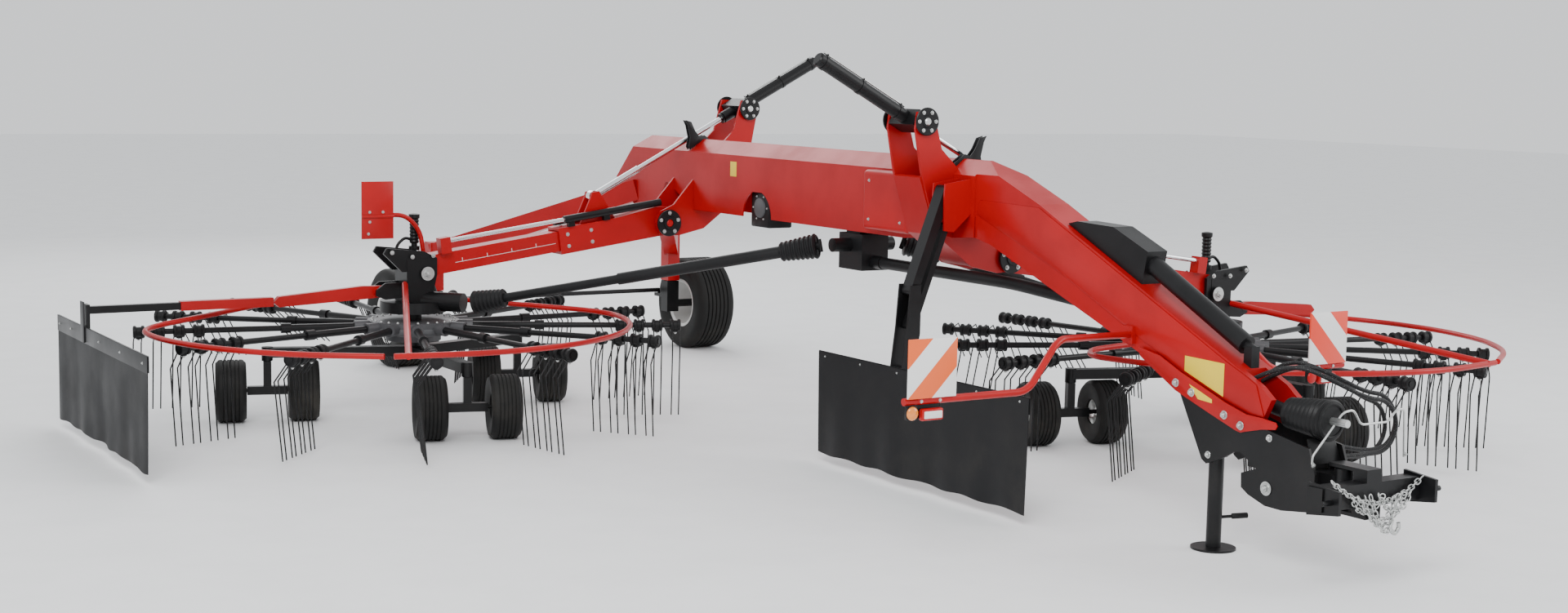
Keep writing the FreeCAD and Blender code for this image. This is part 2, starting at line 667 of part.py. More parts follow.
def arm_tube_space(side):
    """The pocket in the head that the arm's tube ends in, in the rotor's frame."""
    half = TUBE_SIZE / 2 + 0.3
    pocket = box(-400, -80 + 0.3, -half, half, -half, half)
    pocket.rotate(V(0, 0, 0), V(0, 1, 0), ARM_SLOPE)
    slope = math.radians(ARM_SLOPE)
    pocket.translate(V(0, 0, PIVOT_Z - REACH[side] * math.sin(slope)))
    return pocket


def rotor_hub(side):
    """The cast hub that turns on the hollow axle and carries the tine arms."""
    disc = Part.makeCylinder(330, 90, V(0, 0, ROTOR_HEIGHT - 50))
    skirt = Part.makeCylinder(200, 60, V(0, 0, ROTOR_HEIGHT - 108))
    bore = Part.makeCylinder(60 + RUNNING, 400, V(0, 0, 500))
    whole = fuse(disc, skirt)
    for index in range(ARM_COUNT):
        socket = rod((300, 0, ROTOR_HEIGHT), (430, 0, ROTOR_HEIGHT), 42)
        socket.rotate(V(0, 0, 0), V(0, 0, 1), FIRST_ARM[side] + 360.0 * index / ARM_COUNT)
        whole = whole.fuse(socket)
    whole = whole.removeSplitter().cut(bore)
    for index in range(ARM_COUNT):
        hole = rod((380, 0, ROTOR_HEIGHT), (432, 0, ROTOR_HEIGHT), 26.3)
        hole.rotate(V(0, 0, 0), V(0, 0, 1), FIRST_ARM[side] + 360.0 * index / ARM_COUNT)
        whole = whole.cut(hole)
    centre = rotor_centre(side)
    whole.translate(centre)
    return whole


def tine_lift(azimuth):
    """How far an arm has turned its tines up; the cam lifts them at the rear right."""
    away = (azimuth - 125.0 + 180.0) % 360.0 - 180.0
    if abs(away) > 75:
        return 0.0
    return TINE_LIFT * 0.5 * (1 + math.cos(math.radians(away * 180.0 / 75.0)))


def tine_arm(lift):
    """One arm along +X: its rod with the latch, and its outer end with four holders of tines."""
    inner_end = ROTOR_RADIUS - 482
    inner = fuse(rod((380.3, 0, 0), (940, 0, 0), 26), rod((930, 0, 0), (inner_end, 0, 0), 21),
                 rod((880, 0, 0), (950, 0, 0), 36))
    pieces = [rod((inner_end + 0.3, 0, 0), (ROTOR_RADIUS, 0, 0), 21)]
    drop = ROTOR_HEIGHT - TINE_TIP
    for index in range(4):
        x = ROTOR_RADIUS - 25 - index * 135
        pieces.append(rod((x - 50, 0, 0), (x + 20, 0, 0), 36))
        for shift in (-42, 12):
            start = V(x + shift, -20, -18)
            kink = V(x + shift, -115, -150)
            tip = V(x + shift, -60, -drop)
            ring = Part.Wire([Part.makeCircle(TINE_DIA / 2, start, kink - start)])
            path = Part.makePolygon([start, kink, tip])
            pieces.append(path.makePipeShell([ring], True, True, 1))
    outer = pieces[0].fuse(pieces[1:])
    whole = Part.makeCompound([inner, outer])
    whole.rotate(V(0, 0, 0), V(1, 0, 0), -lift)
    return whole


def tine_arms(side):
    arms = []
    for index in range(ARM_COUNT):
        azimuth = FIRST_ARM[side] + 360.0 * index / ARM_COUNT
        arm = tine_arm(tine_lift(azimuth))
        arm.rotate(V(0, 0, 0), V(0, 0, 1), azimuth)
        arm.translate(rotor_centre(side) + V(0, 0, ROTOR_HEIGHT))
        arms.extend(arm.Solids)
    return Part.makeCompound(arms)


# --- running gear under the rotors ----------------------------------------------------
def castor_place(side, name):
    x, y = CASTOR_PLACES[name]
    return rotor_centre(side) + V(SIDES[side] * x, y, 0)


def castor_fork(side, name):
    """Kingpin, leg and axle bar of one pair of running wheels."""
    reach = CASTOR_SPREAD - CASTOR_WIDTH / 2 - GAP
    pin = rod((0, 0, 380), (0, 0, 525), 20)
    leg = box(-28, 28, -28, 28, CASTOR_RADIUS - 30, 436)
    bar = box(-reach, reach, -30, 30, CASTOR_RADIUS - 30, CASTOR_RADIUS + 30)
    axle = rod((-CASTOR_SPREAD - 40, 0, CASTOR_RADIUS), (CASTOR_SPREAD + 40, 0, CASTOR_RADIUS), 15)
    fork = fuse(pin, leg, bar, axle)
    fork.rotate(V(0, 0, 0), V(0, 0, 1), CASTOR_TURN)
    fork.translate(castor_place(side, name))
    return fork


def castor_wheels(side, name):
    """Two running wheels on one axle."""
    half = CASTOR_WIDTH / 2
    wheels = []
    for sign in (-1, 1):
        outer = CASTOR_RADIUS
        tyre = ring_profile([(15 + RUNNING, -40), (60, -40), (100, -half + 45), (outer - 60, -half),
                             (outer - 22, -half + 14), (outer, -half + 45), (outer, half - 45),
                             (outer - 22, half - 14), (outer - 60, half), (100, half - 45), (60, 40),
                             (15 + RUNNING, 40)])
        tyre.translate(V(sign * CASTOR_SPREAD, 0, CASTOR_RADIUS))
        wheels.append(tyre)
    pair = Part.makeCompound(wheels)
    pair.rotate(V(0, 0, 0), V(0, 0, 1), CASTOR_TURN)
    pair.translate(castor_place(side, name))
    return pair


# --- guards and swath curtains --------------------------------------------------------
WING_PIVOT = (275.0, 940.0)
HOOP_Z = 785.0
HOOP_TUBE = 19.0
HOOP_SHIFT = {"right": (380.0, -540.0), "left": (30.0, -400.0)}
HOOP_RADIUS = 1690.0
HOOP_ROOT = {"right": (-190, 420, 850), "left": (-300, -420, 850)}


def hoop_point(side, angle, extra=0.0):
    """A point on the guard hoop in the rotor's frame; 0 degrees is outward, -90 forward."""
    x, y = HOOP_SHIFT[side]
    turn = math.radians(angle)
    radius = HOOP_RADIUS + extra
    return (x + radius * math.cos(turn), y + radius * math.sin(turn), HOOP_Z)


def guard_hoop(side):
    """The guard's inner half, fixed to the head by two struts."""
    clamp = -68.0
    points = [hoop_point(side, clamp - 1.0 - step) for step in (0, 22, 44, 66, 88, 110)]
    points.append(HOOP_ROOT[side])
    points.append((-60, math.copysign(130, HOOP_ROOT[side][1]), 950))
    tube, _ = bent(points, HOOP_TUBE)
    start = hoop_point(side, clamp - 4)
    strut = rod(start, (105, -100, 1000), 22)
    shape = to_rotor(fuse(tube, strut), side)
    return shape.cut(carriage_hollow(side))


def carriage_hollow(side):
    return to_rotor(box(-95.3, 95.3, -115.3, 115.3, 850, 1180), side)


def guard_wing(side):
    """The guard's outer half with its flat carrying bar, hinged on the head's ears."""
    clamp = -68.0
    points = [hoop_point(side, clamp + 1.0 + step) for step in (0, 20, 40, 60, 78)]
    points.append((940, 400, 850))
    points.append((990, 20, 900))
    tube, _ = bent(points, HOOP_TUBE)
    px, pz = WING_PIVOT
    bar = plate([(px - 40, pz - 35), (px - 40, pz + 45), (px + 120, pz + 50), (1010, 940), (1050, 900),
                 (1010, 865), (px + 120, pz - 45)], -25, 25)
    hub = rod((px, -51, pz), (px, 51, pz), 36)
    bore = rod((px, -52, pz), (px, 52, pz), 15 + RUNNING)
    return to_rotor(fuse(tube, bar, hub).cut(bore), side)


def wing_pin(side):
    px, pz = WING_PIVOT
    return to_rotor(rod((px, -74, pz), (px, 74, pz), 15), side)


CURTAIN_X = 2340.0
BAR_Y = 0.0
BAR_Z = 905.0


def curtain_bar():
    """The square sleeve on the right wing that the outer curtain's bar slides in."""
    sleeve = box(1052, 1700, -32, 32, BAR_Z - 32, BAR_Z + 32)
    hollow = box(1100, 1701, -25, 25, BAR_Z - 25, BAR_Z + 25)
    return to_rotor(sleeve.cut(hollow), "right")


def curtain_slide():
    """The sliding bar, the post and the top rail of the outer curtain."""
    bar = box(1420, CURTAIN_X - 20, -24.7, 24.7, BAR_Z - 24.7, BAR_Z + 24.7)
    post = box(CURTAIN_X - 30, CURTAIN_X - 8, -45, 45, 690, BAR_Z + 40)
    rail = box(CURTAIN_X - 8, CURTAIN_X - 3, -1560, 740, 690, 790)
    return to_rotor(fuse(bar, post, rail), "right")


def outer_curtain():
    cloth = box(CURTAIN_X - 2.7, CURTAIN_X + 2.3, -1555, 735, 60, 785)
    return to_rotor(cloth, "right")


LINK_TOP = (-300.0, 1860.0)
LINK_FOOT = (-540.0, 1230.0)
LINK_DROP = 225.0
LINK_PIVOT = 12.0
LINK_Y = -1815.0
MID_CURTAIN_X = -640.0


def link_bracket():
    """The two lugs on the beam that the middle curtain's links hang from, with their pins."""
    x, z = LINK_TOP
    edge = -BEAM_WIDTH / 2 + 5
    low = z - LINK_DROP
    outline = [(edge, z + 70), (x - 35, z + 40), (x - 40, z - 40), (x - 35, low - 30), (x + 40, low - 40),
               (edge, low + 75)]
    pieces = []
    for y in (LINK_Y - 82, LINK_Y - 202):
        pieces.append(plate(outline, y, y + 12))
    for drop in (0, LINK_DROP):
        pieces.append(rod((x, LINK_Y - 202, z - drop), (x, LINK_Y - 70, z - drop), LINK_PIVOT))
    return pieces


def curtain_link(drop, width, thick):
    """One of the two parallel links of the middle curtain."""
    x0, z0 = LINK_TOP
    x1, z1 = LINK_FOOT
    first = V(x0, LINK_Y, z0 - drop)
    last = V(x1, LINK_Y, z1 - drop)
    y0 = LINK_Y - 190 + GAP
    y1 = LINK_Y - 82 - GAP
    bar = beam((first.x, (y0 + y1) / 2, first.z), (last.x, (y0 + y1) / 2, last.z), y1 - y0, thick)
    pieces = [bar]
    for spot in (first, last):
        pieces.append(rod((spot.x, y0, spot.z), (spot.x, y1, spot.z), thick / 2))
    link = fuse(*pieces)
    for spot in (first, last):
        link = link.cut(rod((spot.x, y0 - 1, spot.z), (spot.x, y1 + 1, spot.z), LINK_PIVOT + RUNNING))
    return link


def curtain_carrier():
    """The upright and top rail that the middle curtain hangs on."""
    x, z = LINK_FOOT
    y0 = LINK_Y - 190
    y1 = LINK_Y - 82
    pieces = []
    for y in (y0 - 12, y1):
        pieces.append(plate([(x - 40, z + 40), (x + 40, z + 40), (x + 40, z - LINK_DROP - 40), (x - 10, 700),
                             (x - 97, 700), (x - 60, z - LINK_DROP)], y, y + 12))
    for drop in (0, LINK_DROP):
        pieces.append(rod((x, y0 - 12, z - drop), (x, y1 + 12, z - drop), LINK_PIVOT))
    pieces.append(box(MID_CURTAIN_X + 3, MID_CURTAIN_X + 8, -3280, -1080, 650, 750))
    pieces.append(box(MID_CURTAIN_X + 8, x - 20, y0 - 12, y1 + 12, 700, 750))
    return fuse(*pieces)


def middle_curtain():
    return box(MID_CURTAIN_X - 2.3, MID_CURTAIN_X + 2.7, -3275, -1085, 60, 745)


# --- free hoses -----------------------------------------------------------------------
HOSE_RADIUS = 12.0
HOSES = {
    "hose_first": [(-60, -4400.5, 960), (-50, -4540, 1040), (30, -4700, 1085), (160, -4850, 1000), (320, -4900, 920),
                   (490, -4905, 895), (575, -4905, 757), (500, -4900, 618), (340, -4890, 612), (134, -4880, 616)],
    "hose_second": [(58, -4400.5, 960), (66, -4540, 1040), (120, -4690, 1080), (235, -4800, 1010), (380, -4840, 940),
                    (540, -4845, 915), (640, -4845, 770), (570, -4840, 625), (400, -4830, 618),
                    (250, -4825, 650), (134, -4820, 675)],
    "hose_third": [(95, -4430, 1012), (108, -4515, 1080), (170, -4650, 1075), (285, -4750, 990), (420, -4780, 900),
                   (570, -4785, 850), (625, -4785, 700), (530, -4780, 580), (350, -4775, 575), (134, -4770, 610)],
}


def hose(points):
    """A sheathed hose through its route's points, which enters the machine at both ends."""
    tube, radii = bent(points, HOSE_RADIUS)
    print("hose bends", [round(radius) for radius in radii])
    return tube.cut(drawbar_hollow())


# --- the whole machine ----------------------------------------------------------------
def machine():
    nodes = {}
    nodes["main_frame"] = main_frame()
    nodes["side_covers"] = side_covers()
    nodes["rear_axle"] = rear_axle()
    nodes["transfer_gearbox"] = transfer_gearbox()
    nodes["input_shaft"] = input_shaft()
    nodes["hitch_plates"] = hitch_plates()
    nodes["drawbar_cylinder"] = drawbar_cylinder()
    nodes["board_tubes"] = drawbar_tubes()
    nodes["warning_boards"] = warning_boards()
    nodes["jack_leg"] = jack_leg()
    nodes["headstock"] = headstock()
    nodes["tie_rod"] = tie_rod()
    for side, sign in SIDES.items():
        nodes["knuckle_" + side] = knuckle(sign)
        nodes["transport_wheel_" + side] = transport_wheel(sign)
        nodes["arm_sleeve_" + side] = to_arm(arm_sleeve(), side)
        nodes["reach_barrel_" + side] = to_arm(reach_barrel(), side)
        nodes["arm_tube_" + side] = to_arm(arm_tube(side), side)
        nodes["lift_barrel_" + side] = lift_barrel(side)
        nodes["lift_rod_" + side] = lift_rod(side)
        nodes["shaft_front_" + side] = shaft_front(side)
        nodes["shaft_rear_" + side] = shaft_rear(side)
        nodes["carriage_" + side] = carriage(side).fuse(wing_pin(side)).removeSplitter()
        nodes["rotor_hub_" + side] = rotor_hub(side)
        nodes["tine_arms_" + side] = tine_arms(side)
        nodes["guard_hoop_" + side] = guard_hoop(side)
        nodes["guard_wing_" + side] = guard_wing(side)
        nodes["castor_fork_" + side] = castor_fork(side, "front")
        legs = [castor_fork(side, "outer"), castor_fork(side, "inner")]
        nodes["castor_legs_" + side] = Part.makeCompound(legs)
        for name in CASTOR_PLACES:
            nodes["castor_wheels_%s_%s" % (side, name)] = castor_wheels(side, name)
    for name, points in HOSES.items():
        nodes[name] = hose(points)
    nodes["curtain_bar"] = curtain_bar()
    nodes["curtain_slide"] = curtain_slide()
    nodes["outer_curtain"] = outer_curtain()
    nodes["curtain_link_upper"] = curtain_link(0, 110, 60)
    nodes["curtain_link_lower"] = curtain_link(LINK_DROP, 110, 40)
    nodes["curtain_carrier"] = curtain_carrier()
    nodes["middle_curtain"] = middle_curtain()
    return nodes


def origin_of(nodes):
    """The middle of the bottom of the bounding box."""
    bounds = FreeCAD.BoundBox()
    for shape in nodes.values():
        bounds.add(shape.optimalBoundingBox(False))
    return V(bounds.Center.x, bounds.Center.y, bounds.ZMin)


def main():
    nodes = machine()
    origin = origin_of(nodes)
    os.makedirs("parts", exist_ok=True)
    for name, shape in nodes.items():
        shape.translate(origin * -1)
        shape.exportStep("parts/%s.step" % name)
    print("origin", round(origin.x, 3), round(origin.y, 3), round(origin.z, 3), "nodes", len(nodes))


if __name__ == "__main__":
    main()
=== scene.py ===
# %% [markdown]
# # A trailed two-rotor rake
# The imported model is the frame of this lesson. Every object stays in metres and in the
# frame's own axes, so a part that the model already shapes well only gets its finish, and
# the rest is modelled on top of it.

# %% Load the frame
import json
import math
import bpy
import bmesh
from mathutils import Matrix, Vector

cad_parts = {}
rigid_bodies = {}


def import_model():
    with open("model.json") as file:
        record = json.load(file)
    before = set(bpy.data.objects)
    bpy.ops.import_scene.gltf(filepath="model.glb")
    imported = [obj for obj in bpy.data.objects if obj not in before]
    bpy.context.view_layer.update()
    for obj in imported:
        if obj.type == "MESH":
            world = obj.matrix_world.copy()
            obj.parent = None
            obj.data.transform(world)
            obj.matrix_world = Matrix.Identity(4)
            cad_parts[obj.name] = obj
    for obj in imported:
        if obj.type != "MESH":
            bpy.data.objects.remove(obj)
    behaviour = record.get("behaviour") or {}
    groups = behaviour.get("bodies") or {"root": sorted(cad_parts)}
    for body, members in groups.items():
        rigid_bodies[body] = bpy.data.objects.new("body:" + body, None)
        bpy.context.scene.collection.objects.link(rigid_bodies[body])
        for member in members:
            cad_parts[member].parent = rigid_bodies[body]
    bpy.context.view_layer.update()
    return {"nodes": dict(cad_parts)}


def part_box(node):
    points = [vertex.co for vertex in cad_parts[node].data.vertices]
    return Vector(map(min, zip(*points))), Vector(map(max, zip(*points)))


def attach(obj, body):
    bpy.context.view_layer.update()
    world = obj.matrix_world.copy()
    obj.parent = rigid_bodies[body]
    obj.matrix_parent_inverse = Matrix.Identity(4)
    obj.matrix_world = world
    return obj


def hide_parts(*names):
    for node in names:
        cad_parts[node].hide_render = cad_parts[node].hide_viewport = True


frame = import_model()
nodes = frame["nodes"]

# %% [markdown]
# The drawings of this machine put X = 0 on the middle of the beam and measure Y from the
# rotors. Two boxes give the shift from the drawing to the frame, so no place is typed twice.

# %% Drawing places
AXLE_X, AXLE_Y, AXLE_Z = 1.45, 4.18, 0.42
axle_low, axle_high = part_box("tie_rod")
wheel_low, wheel_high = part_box("transport_wheel_left")
SHIFT = Vector(((axle_low[0] + axle_high[0]) / 2, (wheel_low[1] + wheel_high[1]) / 2 - AXLE_Y, 0))

def at(x, y, z):
    """A place on the drawing, in the frame."""
    return Vector((x, y, z)) + SHIFT

ARM_SLOPE = math.radians(8.1)
REACH = {"right": 2.05, "left": 1.98}
SIGN = {"right": -1, "left": 1}
ROTOR_Y = 1.67
PIVOT_X, PIVOT_Z = 0.35, 1.4
TRUNNION_X, TRUNNION_Z = 0.365, 2.285

def rotor(side, x=0.0, y=0.0, z=0.0):
    """A place seen from a rotor's centre, x outward."""
    sign = SIGN[side]
    return at(sign * (PIVOT_X + REACH[side] * math.cos(ARM_SLOPE) + x), -sign * ROTOR_Y + y, z)

def arm(side, u, y, v):
    """A place on an arm: u along it from its pivot, v above its middle line."""
    sign = SIGN[side]
    x = u * math.cos(ARM_SLOPE) + v * math.sin(ARM_SLOPE)
    z = -u * math.sin(ARM_SLOPE) + v * math.cos(ARM_SLOPE)
    return at(sign * (PIVOT_X + x), -sign * ROTOR_Y + y, PIVOT_Z + z)

print("drawing shift", [round(v, 4) for v in SHIFT])

# %% [markdown]
# The camera stands in front of the machine's right corner, a little above the beam, and
# looks slightly down. A lens of about 47 mm keeps the long drawbar from looking stretched.

# %% Camera
def linked(name, data):
    """A new object of the scene, made of some data."""
    item = bpy.data.objects.new(name, data)
    bpy.context.scene.collection.objects.link(item)
    return item

PAN, TILT, ROLL = -32.5, 6.6, 1.11
camera_data = bpy.data.cameras.new("camera")
camera_data.lens = 46.6
camera_data.sensor_width = 36
camera = linked("camera", camera_data)
turn = Matrix.Rotation(math.radians(PAN), 4, "Z") @ Matrix.Rotation(math.radians(90 - TILT), 4, "X")
turn = turn @ Matrix.Rotation(math.radians(ROLL), 4, "Z")
camera.matrix_world = Matrix.Translation(at(-8.01, -12.21, 2.58)) @ turn
camera_data.clip_end = 200
bpy.context.scene.camera = camera

# %% [markdown]
# Soft studio light: one large key lamp from the front left, a wide fill from the right, a
# lamp behind and a pale world that lifts the shadows under the arms.

# %% Floor and lights
world = bpy.data.worlds.new("studio")
bpy.context.scene.world = world
world.use_nodes = True
sky = world.node_tree.nodes["Background"]
sky.inputs["Color"].default_value = (0.93, 0.95, 0.97, 1)
sky.inputs["Strength"].default_value = 1.1
bpy.ops.object.select_all(action="DESELECT")
bpy.ops.mesh.primitive_plane_add(size=120, location=(0, 0, 0))
floor = bpy.context.object
floor.name = "studio_floor"

def lamp(name, place, aim, size, power):
    """A square area lamp that looks at a point."""
    data = bpy.data.lights.new(name, "AREA")
    data.size = size
    data.energy = power
    item = linked(name, data)
    item.location = place
    item.rotation_euler = (Vector(aim) - Vector(place)).to_track_quat("-Z", "Y").to_euler()

lamp("key", (-9, -10, 11), (0, 0, 0.8), 7, 1500)
lamp("fill", (11, -9, 7), (0, 0, 0.8), 8, 700)
lamp("back", (2, 13, 9), (0, 0, 1), 8, 600)

# %% [markdown]
# Two node groups carry what the finishes share. `dust_mask` says where dust lies: more of
# it near the ground and in blotches. `fine_grain` gives a small height for a bump.

# %% Shared node groups
def new_group(name, inputs, outputs):
    """An empty shader node group with float inputs and outputs."""
    group = bpy.data.node_groups.new(name, "ShaderNodeTree")
    for label, value in inputs:
        socket = group.interface.new_socket(label, in_out="INPUT", socket_type="NodeSocketFloat")
        socket.default_value = value
    for label in outputs:
        group.interface.new_socket(label, in_out="OUTPUT", socket_type="NodeSocketFloat")
    start = group.nodes.new("NodeGroupInput")
    end = group.nodes.new("NodeGroupOutput")
    return group, start, end

def feed(tree, node, values):
    """Gives a node's inputs their values, or links them to other sockets."""
    for label, value in values.items():
        if isinstance(value, bpy.types.NodeSocket):
            tree.links.new(value, node.inputs[label])
        else:
            node.inputs[label].default_value = value

def shader_node(tree, kind, values, **settings):
    """Adds a node, sets it up, feeds it and gives its outputs."""
    node = tree.nodes.new("ShaderNode" + kind)
    for label, value in settings.items():
        setattr(node, label, value)
    feed(tree, node, values)
    return node.outputs

def math_node(tree, operation, first, second):
    """A math node fed by sockets or numbers."""
    return shader_node(tree, "Math", {0: first, 1: second}, operation=operation)[0]

def noise(tree, scale, detail, rough=0.6):
    """A noise texture on the place on the object, in metres."""
    where = shader_node(tree, "TexCoord", {})["Object"]
    values = {"Vector": where, "Scale": scale, "Detail": detail, "Roughness": rough}
    return shader_node(tree, "TexNoise", values)["Fac"]

def ramp(tree, value, low, high):
    """A smooth step from low to high."""
    values = {"Value": value, "From Min": low, "From Max": high}
    return shader_node(tree, "MapRange", values, interpolation_type="SMOOTHSTEP")["Result"]

def blend(tree, first, second, factor):
    """Mixes a colour, or what a socket gives, with a second colour."""
    first = (*first, 1) if isinstance(first, tuple) else first
    values = {"A": first, "B": (*second, 1), "Factor": factor}
    return shader_node(tree, "Mix", values, data_type="RGBA")["Result"]

def axes(tree):
    """The place on the object as X, Y and Z."""
    return shader_node(tree, "SeparateXYZ", {0: shader_node(tree, "TexCoord", {})["Object"]})

inputs = [("Height", 0.9), ("Amount", 0.5), ("Scale", 3.0)]
dust_group, dust_in, dust_out = new_group("dust_mask", inputs, ["Mask"])
low_down = math_node(dust_group, "DIVIDE", axes(dust_group)["Z"], dust_in.outputs["Height"])
low_down = math_node(dust_group, "SUBTRACT", 1.0, low_down)
low_down = math_node(dust_group, "MAXIMUM", low_down, 0.12)
blotch = ramp(dust_group, noise(dust_group, dust_in.outputs["Scale"], 8, 0.68), 0.42, 0.78)
mask = math_node(dust_group, "MULTIPLY", blotch, low_down)
mask = math_node(dust_group, "MULTIPLY", mask, dust_in.outputs["Amount"])
feed(dust_group, dust_out, {"Mask": mask})

grain_group, grain_in, grain_out = new_group("fine_grain", [("Scale", 300.0)], ["Height", "Fleck"])
small = noise(grain_group, grain_in.outputs["Scale"], 3)
feed(grain_group, grain_out, {"Height": small, "Fleck": ramp(grain_group, small, 0.62, 0.74)})

# %% [markdown]
# Every finish is one Principled shader. Colour varies slowly over the metal, dust greys it
# near the ground, and a fine bump breaks the reflections, so no surface is one flat colour.

# %% Finishes
def finish(name, color, second, rough, metal=0.0, coat=0.0, dust=0.3, grain=300.0, bump=0.05,
           dust_height=0.9, shine=0.5):
    """A finish with slow colour variation, dust, grain and a bump."""
    material = bpy.data.materials.new(name)
    material.use_nodes = True
    tree = material.node_tree
    slow = ramp(tree, noise(tree, 2.3, 6), 0.35, 0.7)
    values = {"Amount": dust, "Height": dust_height}
    dusty = shader_node(tree, "Group", values, node_tree=dust_group)["Mask"]
    color = blend(tree, blend(tree, color, second, slow), (0.34, 0.30, 0.24), dusty)
    rougher = math_node(tree, "ADD", math_node(tree, "MULTIPLY", slow, 0.12), rough)
    rougher = math_node(tree, "ADD", rougher, math_node(tree, "MULTIPLY", dusty, 0.4))
    height = shader_node(tree, "Group", {"Scale": grain}, node_tree=grain_group)["Height"]
    normal = shader_node(tree, "Bump", {"Strength": bump, "Distance": 0.002, "Height": height})["Normal"]
    feed(tree, tree.nodes["Principled BSDF"], {
        "Base Color": color, "Roughness": rougher, "Metallic": metal, "Specular IOR Level": shine,
        "Coat Weight": coat, "Coat Roughness": 0.06, "Normal": normal})
    return material

def tinted(material, color, mask):
    """Mixes one more colour into a finish where a mask says."""
    tree = material.node_tree
    base = tree.nodes["Principled BSDF"].inputs["Base Color"]
    tree.links.new(blend(tree, base.links[0].from_socket, color, mask), base)

RED = finish("gloss_red", (0.42, 0.0005, 0.003), (0.35, 0.0005, 0.002), 0.30, coat=0.05, dust=0.02,
             bump=0.03, shine=0.3)
BLACK = finish("satin_black", (0.004, 0.004, 0.0045), (0.008, 0.008, 0.009), 0.34, coat=0.05, dust=0.04,
               shine=0.25)
PLASTIC = finish("black_plastic", (0.005, 0.005, 0.0055), (0.009, 0.009, 0.010), 0.42, dust=0.04,
                 bump=0.12, shine=0.25)
CAST = finish("cast_grey", (0.10, 0.10, 0.105), (0.07, 0.07, 0.075), 0.45, metal=0.3, dust=0.1, grain=120,
              bump=0.3)
ZINC = finish("zinc_plate", (0.62, 0.63, 0.62), (0.50, 0.51, 0.50), 0.28, metal=0.9, dust=0.12, bump=0.08)
ROD = finish("polished_rod", (0.82, 0.83, 0.84), (0.76, 0.77, 0.78), 0.10, metal=1.0, dust=0.03, bump=0.01)
TYRE = finish("tyre_rubber", (0.006, 0.006, 0.006), (0.012, 0.012, 0.0115), 0.60, dust=0.12, grain=180,
              bump=0.3, dust_height=0.5, shine=0.25)
CURTAIN = finish("curtain_rubber", (0.006, 0.006, 0.007), (0.010, 0.010, 0.011), 0.50, dust=0.04,
                 bump=0.2, shine=0.25)
RAIL = finish("rail_black", (0.012, 0.012, 0.013), (0.018, 0.018, 0.019), 0.34, dust=0.05, shine=0.35)
LABEL = finish("plain_yellow", (0.85, 0.62, 0.03), (0.78, 0.56, 0.03), 0.35, dust=0.05, bump=0.02)
WHITE = finish("plain_white", (0.78, 0.78, 0.76), (0.70, 0.70, 0.68), 0.35, dust=0.08, bump=0.02)
SHEATH = finish("hose_sheath", (0.007, 0.007, 0.008), (0.012, 0.012, 0.013), 0.5, dust=0.1, grain=240,
                bump=0.35, shine=0.3)
AMBER = finish("amber_lens", (0.85, 0.25, 0.01), (0.75, 0.18, 0.01), 0.12, coat=1.0, dust=0.03, grain=60,
               bump=0.2)

thread = shader_node(SHEATH.node_tree, "Group", {"Scale": 210}, node_tree=grain_group)["Fleck"]
tinted(SHEATH, (0.40, 0.40, 0.39), thread)
print("finishes", len(bpy.data.materials))

# %% [markdown]
# The floor is one big plane, like the paper of a studio. It could share a finish with the
# machine, but a rougher one of its own keeps its grazing reflection soft.

# %% Floor finish
pale = finish("pale_floor", (0.90, 0.905, 0.91), (0.87, 0.875, 0.88), 0.75, dust=0.0, bump=0.02)
floor.data.materials.append(pale)

# %% [markdown]
# The model already shapes most of the machine's steel well, so those nodes only get paint. The
# list says which names are red, cast, bright, plastic or rubber, and the rest is the black of
# the running gear. A list by name is easy to check against the machine, part by part.

# %% Paint the carried-over nodes
STARTS = [(RED, ("main_frame", "rear_axle", "arm_sleeve", "arm_tube", "guard_", "curtain_bar",
                 "side_covers", "board_tubes")),
          (CAST, ("rotor_hub",)), (ROD, ("lift_rod",)), (PLASTIC, ("shaft_", "input_shaft")),
          (TYRE, ("transport_wheel", "castor_wheels")), (WHITE, ("warning_boards",)),
          (CURTAIN, ("outer_curtain", "middle_curtain"))]

def paint(item, material):
    """Puts one finish in all of an object's slots."""
    if not item.material_slots:
        item.data.materials.append(material)
    for place in item.material_slots:
        place.material = material

for name, item in nodes.items():
    chosen = [material for material, starts in STARTS if name.startswith(starts)]
    paint(item, chosen[0] if chosen else BLACK)

# %% [markdown]
# The hoses come before anything else, because they must lie where the model has them. Each is
# one smooth spline through its route's control points, which starts in the drawbar's fork,
# arches over a bent wire holder, drops into a loop and goes back into the hitch plate.

# %% Free hoses
HOSE_DIAMETER = 0.024
HOSE_ROUTES = {
    "hose_first": [(-0.06, -4.4005, 0.96), (-0.05, -4.54, 1.04), (0.03, -4.7, 1.085), (0.16, -4.85, 1.0),
                   (0.32, -4.9, 0.92), (0.49, -4.905, 0.895), (0.575, -4.905, 0.757), (0.5, -4.9, 0.618),
                   (0.34, -4.89, 0.612), (0.134, -4.88, 0.616)],
    "hose_second": [(0.058, -4.4005, 0.96), (0.066, -4.54, 1.04), (0.12, -4.69, 1.08), (0.235, -4.8, 1.01),
                    (0.38, -4.84, 0.94), (0.54, -4.845, 0.915), (0.64, -4.845, 0.77), (0.57, -4.84, 0.625),
                    (0.4, -4.83, 0.618), (0.25, -4.825, 0.65), (0.134, -4.82, 0.675)],
    "hose_third": [(0.095, -4.43, 1.012), (0.108, -4.515, 1.08), (0.17, -4.65, 1.075), (0.285, -4.75, 0.99),
                   (0.42, -4.78, 0.9), (0.57, -4.785, 0.85), (0.625, -4.785, 0.7), (0.53, -4.78, 0.58),
                   (0.35, -4.775, 0.575), (0.134, -4.77, 0.61)],
}

